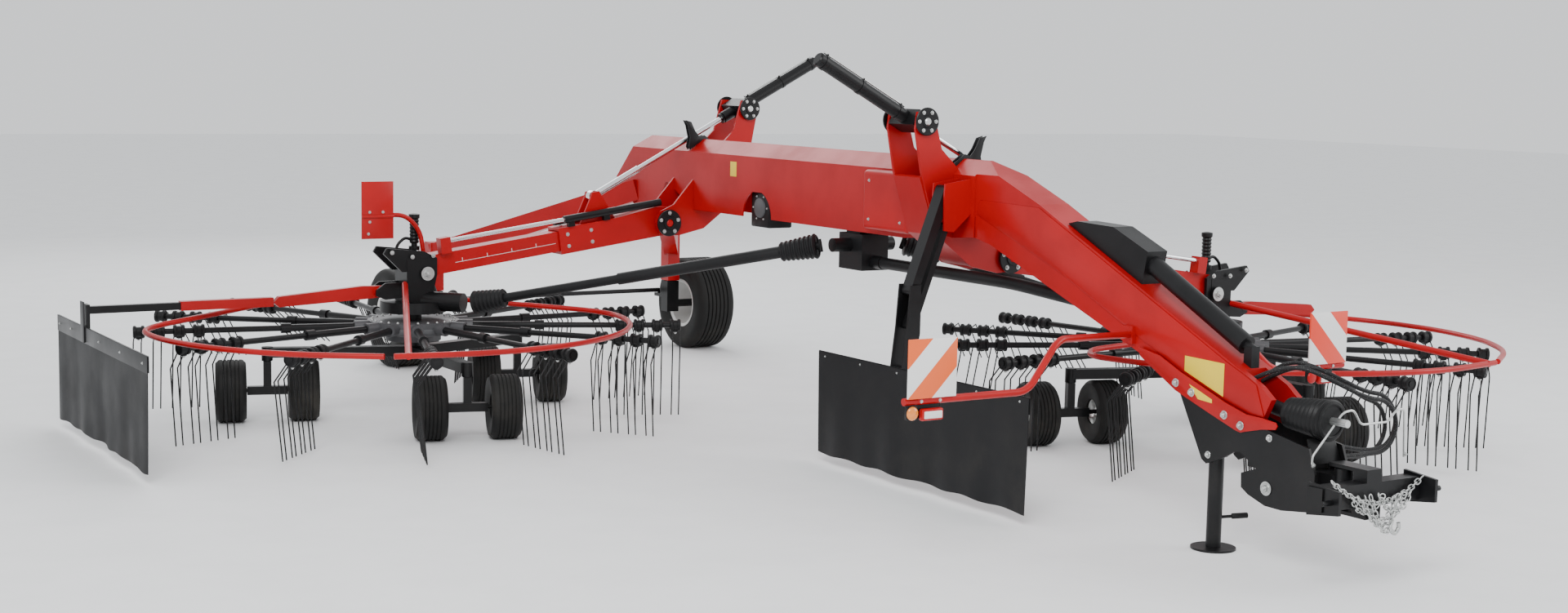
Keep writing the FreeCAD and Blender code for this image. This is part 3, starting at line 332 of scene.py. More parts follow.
def round_curve(name, kind, spots, radius, detail):
    """A curve through points, with a round section and closed ends."""
    curve = bpy.data.curves.new(name, "CURVE")
    curve.dimensions = "3D"
    spline = curve.splines.new(kind)
    spline.points.add(len(spots) - 1)
    for point, spot in zip(spline.points, spots):
        point.co = (*spot, 1)
    curve.bevel_depth = radius
    curve.bevel_resolution = detail
    curve.use_fill_caps = True
    return linked(name, curve)

def length_of(item):
    """The length of the spline itself, without its bevel."""
    depth = item.data.bevel_depth
    item.data.bevel_depth = 0
    mesh = bpy.data.meshes.new_from_object(item.evaluated_get(bpy.context.evaluated_depsgraph_get()))
    item.data.bevel_depth = depth
    spots = [vertex.co for vertex in mesh.vertices]
    total = sum((spots[a] - spots[b]).length for a, b in (edge.vertices for edge in mesh.edges))
    bpy.data.meshes.remove(mesh)
    return total

for name, route in HOSE_ROUTES.items():
    hose = round_curve(name + "_sheathed", "NURBS", [at(*spot) for spot in route], HOSE_DIAMETER / 2, 5)
    spline = hose.data.splines[0]
    spline.order_u = 3
    spline.use_endpoint_u = True
    spline.resolution_u = 16
    bpy.context.view_layer.update()
    long = length_of(hose)
    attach(hose, "frame")
    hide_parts(name)
    paint(hose, SHEATH)
    print(name, "length", round(long, 3))

# %% [markdown]
# Most round parts here are turned shapes: tyres, rims, bellows, caps. `turned` adds a ring of
# points, places them on half of the part's section, and spins them about an axis. It is the
# quickest way to a clean surface whose grooves are real geometry.

# %% Helpers for modelling
def only(item):
    """Selects one object and makes it active."""
    bpy.ops.object.select_all(action="DESELECT")
    item.select_set(True)
    bpy.context.view_layer.objects.active = item

def added(operator, name, **options):
    """A basic shape, added with nothing else selected, and its name."""
    bpy.ops.object.select_all(action="DESELECT")
    operator(**options)
    item = bpy.context.object
    item.name = name
    return item

def settle(item):
    """Puts an object's place into its mesh, so that the object sits at the origin."""
    only(item)
    bpy.ops.object.transform_apply(location=True, rotation=True, scale=True)
    return item

def turn_to(direction):
    """The rotation that takes +Z to a direction."""
    return Vector(direction).to_track_quat("Z", "Y").to_matrix().to_4x4()

def place(item, where, direction=(0, 0, 1)):
    """Moves a piece modelled round the origin to its place."""
    item.matrix_world = Matrix.Translation(where) @ turn_to(direction)
    return settle(item)

def smooth(item, angle=35):
    """Smooth shading that keeps sharp edges."""
    only(item)
    bpy.ops.object.shade_smooth_by_angle(angle=math.radians(angle))

def join(items, name):
    """Joins pieces into one named object."""
    bpy.ops.object.select_all(action="DESELECT")
    for item in items:
        item.select_set(True)
    bpy.context.view_layer.objects.active = items[0]
    bpy.ops.object.join()
    items[0].name = name
    return items[0]

def copy_of(item, matrix):
    """A copy with its own mesh, moved by a matrix."""
    twin = item.copy()
    twin.data = item.data.copy()
    bpy.context.scene.collection.objects.link(twin)
    twin.matrix_world = matrix @ twin.matrix_world
    return settle(twin)

def face_outward():
    """Turns every face of the edited mesh outward and leaves edit mode."""
    bpy.ops.mesh.select_all(action="SELECT")
    bpy.ops.mesh.normals_make_consistent(inside=False)
    bpy.ops.object.mode_set(mode="OBJECT")

def turned(name, profile, steps, closed=True):
    """A shape turned about Z from (radius, height) points, modelled at the origin."""
    item = added(bpy.ops.mesh.primitive_circle_add, name, vertices=len(profile), radius=0.1,
                 fill_type="NOTHING")
    for vertex, (radius, height) in zip(item.data.vertices, profile):
        vertex.co = (radius, 0, height)
    bpy.ops.object.mode_set(mode="EDIT")
    bpy.ops.mesh.select_all(action="DESELECT")
    if not closed:
        work = bmesh.from_edit_mesh(item.data)
        for edge in work.edges:
            if {v.index for v in edge.verts} == {0, len(profile) - 1}:
                edge.select = True
        bmesh.update_edit_mesh(item.data)
        bpy.ops.mesh.delete(type="EDGE")
    bpy.ops.mesh.select_all(action="SELECT")
    bpy.ops.mesh.spin(steps=steps, angle=2 * math.pi, center=(0, 0, 0), axis=(0, 0, 1))
    bpy.ops.mesh.select_all(action="SELECT")
    bpy.ops.mesh.remove_doubles(threshold=0.00001)
    face_outward()
    smooth(item)
    return item

def modified(item, kind, **settings):
    """Gives an object a modifier and applies it."""
    only(item)
    modifier = item.modifiers.new(kind, kind)
    for label, value in settings.items():
        setattr(modifier, label, value)
    bpy.ops.object.modifier_apply(modifier=modifier.name)

def bevelled(item, width, segments=2):
    """Rounds an object's edges."""
    modified(item, "BEVEL", width=width, segments=segments, limit_method="ANGLE")
    smooth(item)
    return item

def block(name, low, high, round_by=0.004):
    """A block between two corners with rounded edges."""
    low, high = Vector(low), Vector(high)
    item = added(bpy.ops.mesh.primitive_cube_add, name, size=1, location=(low + high) / 2)
    item.scale = high - low
    settle(item)
    return bevelled(item, round_by)

def bar(name, start, end, radius, vertices=20, round_by=0.0):
    """A round bar between two points."""
    start, end = Vector(start), Vector(end)
    item = added(bpy.ops.mesh.primitive_cylinder_add, name, vertices=vertices, radius=radius,
                 depth=(end - start).length)
    place(item, (start + end) / 2, end - start)
    if round_by:
        bevelled(item, round_by)
    smooth(item)
    return item

def done(item, body, slot, material):
    """Paints a finished piece and attaches it to its body; the slot argument is not used."""
    paint(item, material)
    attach(item, body)
    return item

def fitting(name, profile, steps, where, out, body, slot, material):
    """A turned piece at a place, facing out; a section that starts on the axis stays open."""
    item = turned(name, profile, steps, closed=profile[0][0] > 0)
    return done(place(item, where, out), body, slot, material)

def box_of(node):
    """The two corners of a node's box."""
    return [Vector(corner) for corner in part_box(node)]

counted = set(bpy.data.objects.keys())

def tell(step):
    """Prints how many pieces a step has added."""
    new = set(bpy.data.objects.keys()) - counted
    counted.update(new)
    print(step, len(new))

GEAR_BLACK = ("gear_black", BLACK)
FRAME_RED = ("frame_red", RED)
ZINC_STEEL = ("zinc_steel", ZINC)
WHITE_PAINT = ("board_paint", WHITE)
YELLOW_PAINT = ("board_paint", LABEL)

# %% [markdown]
# A bolt is a hexagon head with a chamfer, on a washer, with the end of its thread showing. It
# is modelled once and copied wherever the machine is bolted together.

# %% One bolt, and rings of them
pieces = []
for corners, radius, depth, height, chamfer in ((6, 1.0, 0.75, 0.52, 0.09), (20, 1.35, 0.18, 0.09, 0.05),
                                                (12, 0.55, 0.5, 1.0, 0.08)):
    piece = added(bpy.ops.mesh.primitive_cylinder_add, "bolt_piece", vertices=corners, radius=radius,
                  depth=depth, location=(0, 0, height))
    pieces.append(bevelled(settle(piece), chamfer, 1))
BOLT = join(pieces, "bolt_pattern")
print("faces on a bolt", len(BOLT.data.polygons))

def bolts(name, places, direction, size, body="frame"):
    """Bolts at places, all pointing one way; size is half the head's width in metres."""
    made = [copy_of(BOLT, Matrix.Translation(spot) @ turn_to(direction) @ Matrix.Scale(size, 4))
            for spot in places]
    done(join(made, name), body, *ZINC_STEEL)

def ring_places(centre, direction, radius, count, start=0.0):
    """Places on a circle round a centre."""
    spin = turn_to(direction).to_3x3()
    angles = [math.radians(start) + 2 * math.pi * index / count for index in range(count)]
    return [Vector(centre) + spin @ Vector((radius * math.cos(a), radius * math.sin(a), 0)) for a in angles]

# %% [markdown]
# A transport tyre is turned from its half section. The grooves round the tread are cut into
# the section itself, so they show at the tyre's edge as they do on the real one. The rim is a
# second turned shape, dished towards the bolts.

# %% Transport wheels
def tread(radius, half, rim, ribs, depth):
    """The section of a ribbed tyre: (radius, height) points from bead to bead."""
    side = [(rim, half * 0.80), (rim + 0.02, half * 0.86), (radius * 0.80, half),
            (radius * 0.90, half * 0.985), (radius - 0.014, half * 0.88), (radius - 0.004, half * 0.80)]
    points = [(out, -up) for out, up in side]
    width = half * 1.5
    step = width / ribs
    for index in range(ribs):
        left = -width / 2 + index * step
        points += [(radius, left + step * 0.16), (radius, left + step * 0.84)]
        if index < ribs - 1:
            points += [(radius - depth, left + step * 0.92), (radius - depth, left + step * 1.08)]
    return points + side[::-1]

RIM = [(0.036, 0.088), (0.060, 0.088), (0.066, 0.060), (0.075, 0.052), (0.135, 0.052), (0.165, 0.074),
       (0.196, 0.080), (0.202, 0.150), (0.222, 0.158), (0.222, 0.152), (0.208, 0.140), (0.200, 0.07),
       (0.200, -0.150), (0.222, -0.158), (0.218, -0.164), (0.194, -0.150), (0.190, 0.060), (0.165, 0.062),
       (0.135, 0.040), (0.036, 0.040)]
HUB_CAP = [(0.0, 0.122), (0.020, 0.120), (0.034, 0.108), (0.036, 0.080), (0.0, 0.080)]
for side, sign in SIGN.items():
    centre = at(sign * AXLE_X, AXLE_Y, AXLE_Z)
    out = (sign, 0, 0)
    body = "transport_wheel_" + side
    tyre = fitting("transport_tyre_" + side, tread(AXLE_Z, 0.19, 0.214, 7, 0.010), 96, centre, out, body,
                   "tyre_rubber", TYRE)
    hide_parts(body)
    fitting("transport_rim_" + side, RIM, 64, centre, out, body, "zinc_steel", WHITE)
    face = centre + Vector((sign * 0.052, 0, 0))
    bolts("transport_nuts_" + side, ring_places(face, out, 0.103, 6), out, 0.012, body)
    fitting("transport_cap_" + side, HUB_CAP, 32, centre, out, body, *ZINC_STEEL)
tell("transport wheel pieces")

# %% [markdown]
# The running wheels under each rotor are small and soft, with fine ribs. One tyre and one
# plated hub are modelled, and copied to all twelve wheels, because all of them are the same.

# %% Running wheels
CASTOR_TURN = math.radians(-16.4)
axle = Vector((math.cos(CASTOR_TURN), math.sin(CASTOR_TURN), 0))
small_tyre = turned("small_tyre", tread(0.225, 0.1075, 0.088, 6, 0.006), 56)
HUB = [(0.016, 0.050), (0.030, 0.050), (0.034, 0.034), (0.070, 0.030), (0.080, 0.062), (0.096, 0.078),
       (0.096, 0.070), (0.086, 0.060), (0.084, -0.060), (0.096, -0.070), (0.096, -0.078), (0.080, -0.062),
       (0.070, -0.030), (0.034, -0.034), (0.030, -0.050), (0.016, -0.050)]
small_hub = turned("small_hub", HUB, 40)
for side in SIGN:
    for name, (x, y) in {"front": (0, -0.975), "outer": (0.985, 0.33), "inner": (-0.985, 0.33)}.items():
        body = "castor_wheels_%s_%s" % (side, name)
        middle = rotor(side, x, y, 0.225)
        tyres, hubs = [], []
        for hand in (-1, 1):
            matrix = Matrix.Translation(middle + axle * hand * 0.255) @ turn_to(axle)
            tyres.append(copy_of(small_tyre, matrix))
            hubs.append(copy_of(small_hub, matrix))
        tyres = done(join(tyres, "running_tyres_%s_%s" % (side, name)), body, "tyre_rubber", TYRE)
        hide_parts(body)
        done(join(hubs, "running_hubs_%s_%s" % (side, name)), body, *ZINC_STEEL)
        for hand, mark in ((-1, "a"), (1, "b")):
            end = [middle + axle * hand * 0.292]
            bolts("axle_nuts_%s_%s_%s" % (side, name, mark), end, axle * hand, 0.019, body)
bpy.data.objects.remove(small_tyre)
bpy.data.objects.remove(small_hub)
tell("running wheel pieces")

# %% [markdown]
# Rubber bellows cover the joints of the drive shafts. They could be smooth cones with a bumpy
# finish, but the folds show at the edge, so the section is a zigzag along a cone, turned about
# the shaft and then given a thin wall.

# %% Bellows on the drive shafts
def bellows(name, start, direction, length, first, last, folds, body):
    """A ribbed cone between two radii."""
    profile = [(first * 0.72, 0.0)]
    for index in range(folds):
        share = index / (folds - 1)
        radius = first + (last - first) * share
        low = length * (index + 0.1) / folds
        profile += [(radius * 0.86, low), (radius, low + 0.30 * length / folds),
                    (radius, low + 0.5 * length / folds)]
    profile += [(last * 0.86, length * 0.99), (last * 0.72, length)]
    shape = turned(name, profile, 40, closed=False)
    modified(shape, "SOLIDIFY", thickness=0.003, offset=-1)
    return done(place(shape, start, direction), body, "black_plastic", PLASTIC)

for side, sign in SIGN.items():
    near = at(sign * PIVOT_X, -0.63, PIVOT_Z)
    centre = rotor(side)
    towards = (Vector((near.x, near.y, 0)) - Vector((centre.x, centre.y, 0))).normalized()
    far = Vector((centre.x, centre.y, 0.87)) + towards * 0.47
    along = (far - near).normalized()
    for end, start, out, long in (("front", near + along * 0.015, along, 0.27),
                                  ("rear", far - along * 0.015, -along, 0.25)):
        name = "%s_bellows_%s" % (end, side)
        bellows(name, start, out, long, 0.088, 0.068, 8, "shaft_%s_%s" % (end, side))
bellows("input_bellows", at(0, -4.664, 0.83), (0, -1, 0), 0.30, 0.085, 0.112, 9, "frame")
tell("bellows")

# %% [markdown]
# The swath curtains are rubber sheets hung from a rail. A cloth simulation could drape them,
# but stiff rubber hardly folds, so each is a fine grid that waves a little, more towards the
# bottom, with a thin wall.

# %% Swath curtains
def curtain(name, node, phase):
    """A hung sheet that fills its node's box, rides on the body of that name and waves below."""
    low, high = box_of(node)
    width = high.y - low.y
    tall = high.z - low.z
    sheet = added(bpy.ops.mesh.primitive_grid_add, name, x_subdivisions=110, y_subdivisions=28, size=1)
    middle = (low.x + high.x) / 2
    for vertex in sheet.data.vertices:
        along = vertex.co.x + 0.5
        down = 0.5 - vertex.co.y
        wave = math.sin(along * 21 + phase) * 0.6 + math.sin(along * 47 + phase * 2.1) * 0.25
        push = wave * 0.016 * down ** 1.6 + 0.006 * math.sin(along * 9 + phase) * down
        hem = 0.006 * math.sin(along * 33 + phase) * down ** 4
        vertex.co = (middle - push, low.y + along * width, high.z - down * (tall - 0.008) - hem - 0.001)
    modified(sheet, "SOLIDIFY", thickness=0.005, offset=0)
    smooth(sheet, 40)
    done(sheet, node, "curtain_rubber", CURTAIN)
    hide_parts(node)
    print(name, "flat size", round(width, 3), round(tall, 3))

curtain("outer_sheet", "outer_curtain", 0.4)
curtain("middle_sheet", "middle_curtain", 1.9)

# %% [markdown]
# The warning boards are thin plates with a rounded edge. Their diagonal stripes are part of
# the finish: the fraction of the distance along the diagonal, cut sharp. A formula needs no
# picture and stays sharp from close by.

# %% Warning boards and their lamps
def striped(name, color, lean, start):
    """White with diagonal stripes; lean is the way they rise, start where the first begins."""
    material = finish(name, (0.86, 0.86, 0.85), (0.82, 0.82, 0.81), 0.32, dust=0.05, bump=0.02)
    tree = material.node_tree
    place_on = axes(tree)
    along = math_node(tree, "MULTIPLY", place_on["X"], lean)
    along = math_node(tree, "SUBTRACT", along, place_on["Z"])
    along = math_node(tree, "ADD", along, start)
    along = math_node(tree, "FRACT", math_node(tree, "DIVIDE", along, 2 * BOARD_HALF), 0)
    tinted(material, color, math_node(tree, "LESS_THAN", along, 0.5))
    return material

BOARD_HALF = 0.155
BOARD_X = {"right": -1.80, "left": 1.105}
BOARD_COLOR = {"right": (0.85, 0.13, 0.02), "left": (0.80, 0.05, 0.02)}
LAMP_PARTS = {"lamp_bracket_": (-0.075, -3.872, 0.815, 0.075, -3.868, 0.89, 0.0015, GEAR_BLACK),
              "lamp_box_": (-0.065, -3.905, 0.805, 0.075, -3.872, 0.868, 0.010, FRAME_RED),
              "lamp_lens_": (-0.052, -3.913, 0.817, 0.062, -3.904, 0.856, 0.006, WHITE_PAINT),
              "reflector_ear_": (-0.150, -3.8925, 0.815, -0.086, -3.868, 0.884, 0.003, GEAR_BLACK)}
for side, x in BOARD_X.items():
    lean = -SIGN[side]
    corner = at(x + SIGN[side] * BOARD_HALF, 0, 1.233)
    stripes = striped(side + "_stripes", BOARD_COLOR[side], lean, corner.z - lean * corner.x + 0.003)
    board = block("warning_board_" + side, at(x - BOARD_HALF, -3.902, 0.923),
                  at(x + BOARD_HALF, -3.8903, 1.233), 0.003)
    done(board, "frame", "board_paint", stripes)
    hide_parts("warning_boards")
    bolts("board_bolts_" + side, [at(x + step, -3.8905, 0.907) for step in (-0.06, 0.06)], (0, -1, 0), 0.007)
    for name, (left, front, low, right, back, high, round_by, look) in LAMP_PARTS.items():
        part = block(name + side, at(x + left, front, low), at(x + right, back, high), round_by)
        done(part, "frame", *look)
    glow = [(0, 0.014), (0.026, 0.012), (0.034, 0.006), (0.036, 0), (0, 0)]
    fitting("amber_reflector_" + side, glow, 32, at(x - 0.118, -3.893, 0.848), (0, -1, 0), "frame",
            "board_paint", AMBER if side == "right" else RED)
tell("board and lamp pieces")

# %% [markdown]
# Each fold station holds the arm's pivot between bolted flanges, low down, and the lifting
# cylinder's trunnion high up on the other side. Both flanges are black with a ring of plated
# bolts. The pivot's cap is red and the trunnion's is plated. All of them are turned, because
# every edge of theirs is a circle.

# %% Pivot and trunnion flanges
PIVOT_FLANGE = [(0.030, 0.0), (0.100, 0.0), (0.103, 0.004), (0.103, 0.012), (0.099, 0.016), (0.052, 0.016),
                (0.048, 0.024), (0.030, 0.024)]
PIVOT_CAP = [(0, 0.012), (0.022, 0.011), (0.029, 0.004), (0.029, 0), (0, 0)]
TRUNNION_FLANGE = [(0.026, 0), (0.086, 0), (0.089, 0.004), (0.089, 0.010), (0.085, 0.014), (0.042, 0.014),
                   (0.038, 0.020), (0.026, 0.020)]
TRUNNION_CAP = [(0, 0.010), (0.018, 0.010), (0.0245, 0.004), (0.0245, 0), (0, 0)]
for side, sign in SIGN.items():
    for hand in (-1, 1):
        y = -sign * ROTOR_Y + hand * 0.160
        mark = "_%s_%d" % (side, hand)
        out = Vector((0, hand, 0))
        pivot = at(sign * PIVOT_X, y, PIVOT_Z)
        fitting("pivot_flange" + mark, PIVOT_FLANGE, 48, pivot + out * 0.0142, out, "frame", *GEAR_BLACK)
        bolts("pivot_bolts" + mark, ring_places(pivot + out * 0.030, out, 0.078, 5, 18), out, 0.0115)
        fitting("pivot_cap" + mark, PIVOT_CAP, 32, pivot + out * 0.030, out, "frame", *FRAME_RED)
        trunnion = at(-sign * TRUNNION_X, y, TRUNNION_Z)
        fitting("trunnion_flange" + mark, TRUNNION_FLANGE, 48, trunnion + out * 0.0122, out, "frame",
                *GEAR_BLACK)
        bolts("trunnion_bolts" + mark, ring_places(trunnion + out * 0.026, out, 0.064, 6), out, 0.0095)
        fitting("trunnion_cap" + mark, TRUNNION_CAP, 32, trunnion + out * 0.027, out, "frame", *ZINC_STEEL)
tell("flange pieces")

# %% [markdown]
# Thin rods, pipes and handles are curves with a round bevel, turned into meshes once they
# have their bends. `wire` rounds each bend by placing two points before and after it.

# %% Bent rods and pipes
def wire(name, points, radius, body, slot, material, bend=0.03):
    """A round rod through points on the drawing with rounded bends."""
    spots = [Vector(point) + SHIFT for point in points]
    path = [spots[0]]
    for before, here, after in zip(spots, spots[1:], spots[2:]):
        reach = min(bend, (before - here).length * 0.45, (after - here).length * 0.45)
        enter = here + (before - here).normalized() * reach
        leave = here + (after - here).normalized() * reach
        for step in range(7):
            share = step / 6
            path.append(enter.lerp(here, share).lerp(here.lerp(leave, share), share))
    path.append(spots[-1])
    only(round_curve(name, "POLY", path, radius, 4))
    bpy.ops.object.convert(target="MESH")
    item = bpy.context.object
    smooth(item)
    return done(item, body, slot, material)

HOLDER = [(-0.16, 0.62), (-0.16, 0.66), (0.05, 0.875), (0.13, 0.885), (0.19, 0.80), (0.40, 0.80),
          (0.455, 0.86), (0.52, 0.862), (0.535, 0.60)]
wire("hose_holder", [(x, -4.985, z) for x, z in HOLDER], 0.006, "frame", *ZINC_STEEL)
for x in (-0.16, 0.535):
    bolts("holder_nut_%d" % (x > 0), [at(x, -4.993, 0.615)], (0, -1, 0), 0.010)
tell("hose holder pieces")

# %% [markdown]
# A safety chain hangs across the crossbar, gathered in the middle, with a big hook. One link
# is a torus stretched along its length; each next one is turned by a quarter.

# %% Safety chain
LINK = settle(added(bpy.ops.mesh.primitive_torus_add, "link_pattern", major_radius=0.0125,
                    minor_radius=0.0038, major_segments=18, minor_segments=8))
for vertex in LINK.data.vertices:
    vertex.co.x += math.copysign(0.0055, vertex.co.x)
smooth(LINK, 60)
LINK_STEP = 0.0265

def chain_links(start, end, sag, lean=0.0):
    """Copies of the link, a step apart, along a chain that sags between two places."""
    start, end = at(*start), at(*end)
    spots = [start]
    for index in range(201):
        share = index / 200
        drop = 4 * share * (1 - share)
        spot = start.lerp(end, share) + Vector((0, lean * drop, -sag * drop))
        if (spot - spots[-1]).length >= LINK_STEP:
            spots.append(spot)
    made = []
    for index, (here, there) in enumerate(zip(spots, spots[1:])):
        turned_by = Matrix.Rotation(math.radians(45 + 90 * (index % 2)), 4, "X")
        along = (there - here).to_track_quat("X", "Z").to_matrix().to_4x4()
        made.append(copy_of(LINK, Matrix.Translation((here + there) / 2) @ along @ turned_by))
    return made

links = chain_links((-0.34, -5.285, 0.60), (0.34, -5.285, 0.57), 0.125)
for first, last, sag, lean in ((-0.15, 0.16, 0.13, -0.018), (-0.10, 0.20, 0.17, 0.016),
                               (-0.06, 0.12, 0.19, -0.034), (0.00, 0.24, 0.10, -0.012),
                               (-0.19, 0.04, 0.09, 0.012)):
    links += chain_links((first, -5.290, 0.505), (last, -5.290, 0.50), sag, lean)
print("chain links", len(links))
done(join(links, "safety_chain"), "headstock", *ZINC_STEEL)
bpy.data.objects.remove(LINK)
BIG_HOOK = [(0.09, 0.375), (0.09, 0.315), (0.125, 0.285), (0.155, 0.315), (0.15, 0.345)]
wire("chain_hook", [(x, -5.30, z) for x, z in BIG_HOOK], 0.011, "headstock", *ZINC_STEEL, bend=0.02)

# %% [markdown]
# The lock hooks stand in pairs on the ridge of the beam at each fold station. Real ones are
# cut from plate, so `flat_plate` does the same: it fills an outline, extrudes it and bevels it.

# %% Lock hooks
def flat_plate(name, corners, thick, round_by=0.0025):
    """A plate from corners on the drawing, extruded by a vector."""
    item = added(bpy.ops.mesh.primitive_circle_add, name, vertices=len(corners), radius=1, fill_type="NGON")
    for vertex, corner in zip(item.data.vertices, corners):
        vertex.co = at(*corner)
    bpy.ops.object.mode_set(mode="EDIT")
    bpy.ops.mesh.select_all(action="SELECT")
    bpy.ops.mesh.extrude_region_move(TRANSFORM_OT_translate={"value": thick})
    face_outward()
    return bevelled(item, round_by)

HOOK = [(-0.130, 1.955), (0.060, 2.010), (0.128, 1.962), (0.142, 1.985), (0.128, 2.060), (0.150, 2.150),
        (0.172, 2.192), (0.120, 2.178), (0.085, 2.110), (0.045, 2.062), (0.000, 2.075), (-0.130, 1.985)]
for side, sign in SIGN.items():
    for index, shift in enumerate((-0.105, -0.065)):
        corners = [(sign * x, -sign * ROTOR_Y + shift, z) for x, z in HOOK]
        hook = flat_plate("lock_hook_%s_%d" % (side, index), corners, (0, 0.010, 0))
        done(hook, "frame", *GEAR_BLACK)
tell("hooks of the locks, the chain and its hook")

# %% [markdown]
# The beam's side covers are bolted on, a valve box sits inside its arch, and plain yellow
# labels mark both sides. The box and the labels are bevelled blocks, the valves' round covers
# are turned, and the bolts are copies of the one made before.

# %% Beam details
VALVE_COVER = [(0, 0.016), (0.060, 0.015), (0.072, 0.010), (0.075, 0.0), (0, 0)]
done(block("valve_box", at(-0.10, 0.43, 1.43), at(0.10, 0.69, 1.689), 0.012), "frame", *GEAR_BLACK)
for side, sign in SIGN.items():
    out = (sign, 0, 0)
    spots = [at(sign * 0.2505, y, z) for y in (-1.42, -1.06) for z in (1.61, 1.87)]
    bolts("cover_bolts_" + side, spots, out, 0.008)
    label = block("plain_label_" + side, at(sign * 0.1300 - 0.001, 0.86, 1.79),
                  at(sign * 0.1300 + 0.001, 0.95, 1.90), 0.0004)
    done(label, "frame", *YELLOW_PAINT)
    fitting("valve_cover_%d" % sign, VALVE_COVER, 40, at(sign * 0.10, 0.56, 1.575), out, "frame",
            "black_plastic", CAST)
    bolts("valve_bolts_%d" % sign, ring_places(at(sign * 0.1005, 0.56, 1.575), out, 0.095, 6), out, 0.006)
tell("beam pieces")

# %% [markdown]
# Each arm carries its cylinder's bright rod, a bundle of black pipes in zinc clamps, white
# marks for the working width and zinc bolts in the sleeve's wear pads. The marks could be part
# of the paint, but as thin plates on the inner tube they slide with it and stay sharp.

# %% Arm details
def along_arm(side, u, y, v):
    """The same as `arm`, on the drawing instead of in the frame."""
    return tuple(arm(side, u, y, v) - SHIFT)

def arm_mark(name, side, hand, left, right, low, high):
    """A thin rectangle on one side of a sliding tube."""
    corners = ((left, low), (right, low), (right, high), (left, high))
    corners = [along_arm(side, u, hand * 0.0750, v) for u, v in corners]
    return flat_plate(name, corners, (0, hand * 0.0006, 0), 0.0001)

for side in SIGN:
    outer = "arm_outer_" + side
    inner = "arm_inner_" + side
    end = REACH[side] - 0.08
    rod = bar("reach_rod_" + side, arm(side, 0.851, -0.098, 0.16), arm(side, end - 0.15, -0.098, 0.16),
              0.01604, 72)
    done(rod, inner, "zinc_steel", ROD)
    for hand, level in ((0.03, 0.119), (0.055, 0.119), (0.042, 0.139)):
        points = [(0.12, 0.042, 0.150), (0.30, hand, level + 0.018), (0.44, hand, level), (0.87, hand, level)]
        wire("arm_pipe_%s_%d" % (side, round(hand * 1000)), [along_arm(side, *p) for p in points], 0.010,
             outer, "hose_rubber", BLACK)
    for u in (0.46, 0.82):
        clamp = bar("pipe_clamp_%s_%d" % (side, u * 100), arm(side, u, 0.018, 0.1005),
                    arm(side, u, 0.066, 0.1005), 0.006, 12)
        done(clamp, outer, *ZINC_STEEL)
        bolts("clamp_bolt_%s_%d" % (side, u * 100), [arm(side, u, 0.042, 0.150)],
              arm(side, u, 0.042, 1) - arm(side, u, 0.042, 0), 0.006, outer)
    for hand in (-1, 1):
        for u in (0.63, 0.83):
            spots = [arm(side, u, hand * 0.0955, v) for v in (-0.045, 0.045)]
            bolts("pad_bolts_%s_%d_%d" % (side, hand, u * 100), spots, (0, hand, 0), 0.011, outer)
        line = arm_mark("width_line_%s_%d" % (side, hand), side, hand, 0.93, end - 0.22, -0.012, -0.009)
        done(line, inner, *WHITE_PAINT)
        marks = []
        for index in range(4):
            u = end - 0.28 - index * 0.2
            marks.append(arm_mark("width_mark_%d" % index, side, hand, u, u + 0.004, -0.009, 0.016))
        done(join(marks, "width_marks_%s_%d" % (side, hand)), inner, *WHITE_PAINT)
tell("arm pieces")

# %% [markdown]
# A lifting cylinder raises each arm. The model has its barrel and rod, and here it gets a thin
# pipe with its straps, a gland at the mouth and a closed end. They are turned about the line
# from the trunnion to the rod's eye and ride on the barrel, so they swing with it.

# %% Lifting cylinders
STRAP = [(0.0452, -0.012), (0.049, -0.012), (0.049, 0.012), (0.0452, 0.012)]
GLAND = [(0.0205, 0), (0.038, 0), (0.040, 0.003), (0.040, 0.020), (0.0205, 0.020)]
BARREL_END = [(0, 0.012), (0.036, 0.012), (0.044, 0.004), (0.0452, 0), (0, 0)]
for side, sign in SIGN.items():
    trunnion = at(-sign * TRUNNION_X, -sign * ROTOR_Y, TRUNNION_Z)
    eye = arm(side, 0.536, 0, 0.284)
    along = (eye - trunnion).normalized()
    up = Vector((0, -1, 0)).cross(along)
    up = up if up.z > 0 else -up
    barrel = "lift_barrel_" + side
    pipe = bar("barrel_pipe_" + side, trunnion - along * 0.79 + up * 0.056,
               trunnion - along * 0.09 + up * 0.056, 0.007, 14)
    done(pipe, barrel, *ZINC_STEEL)
    for reach in (0.76, 0.45, 0.12):
        spot = trunnion - along * reach
        mark = "%s_%d" % (side, reach * 100)
        fitting("barrel_strap_" + mark, STRAP, 32, spot, along, barrel, *GEAR_BLACK)
        done(bar("barrel_post_" + mark, spot + up * 0.046, spot + up * 0.060, 0.010, 12), barrel, *GEAR_BLACK)
    fitting("gland_" + side, GLAND, 36, trunnion + along * 0.1605, along, barrel, *GEAR_BLACK)
    fitting("barrel_end_" + side, BARREL_END, 36, trunnion - along * 0.8052, -along, barrel, *GEAR_BLACK)
tell("lifting cylinder pieces")

# %% [markdown]
# Each side of the drawbar is a thick plate whose lower edge stands proud. A narrow red strip
# with big zinc bolts carries on over the black hitch plates, and the labels stay plain. All
# are plates from an outline, and one loop lays them on both sides.

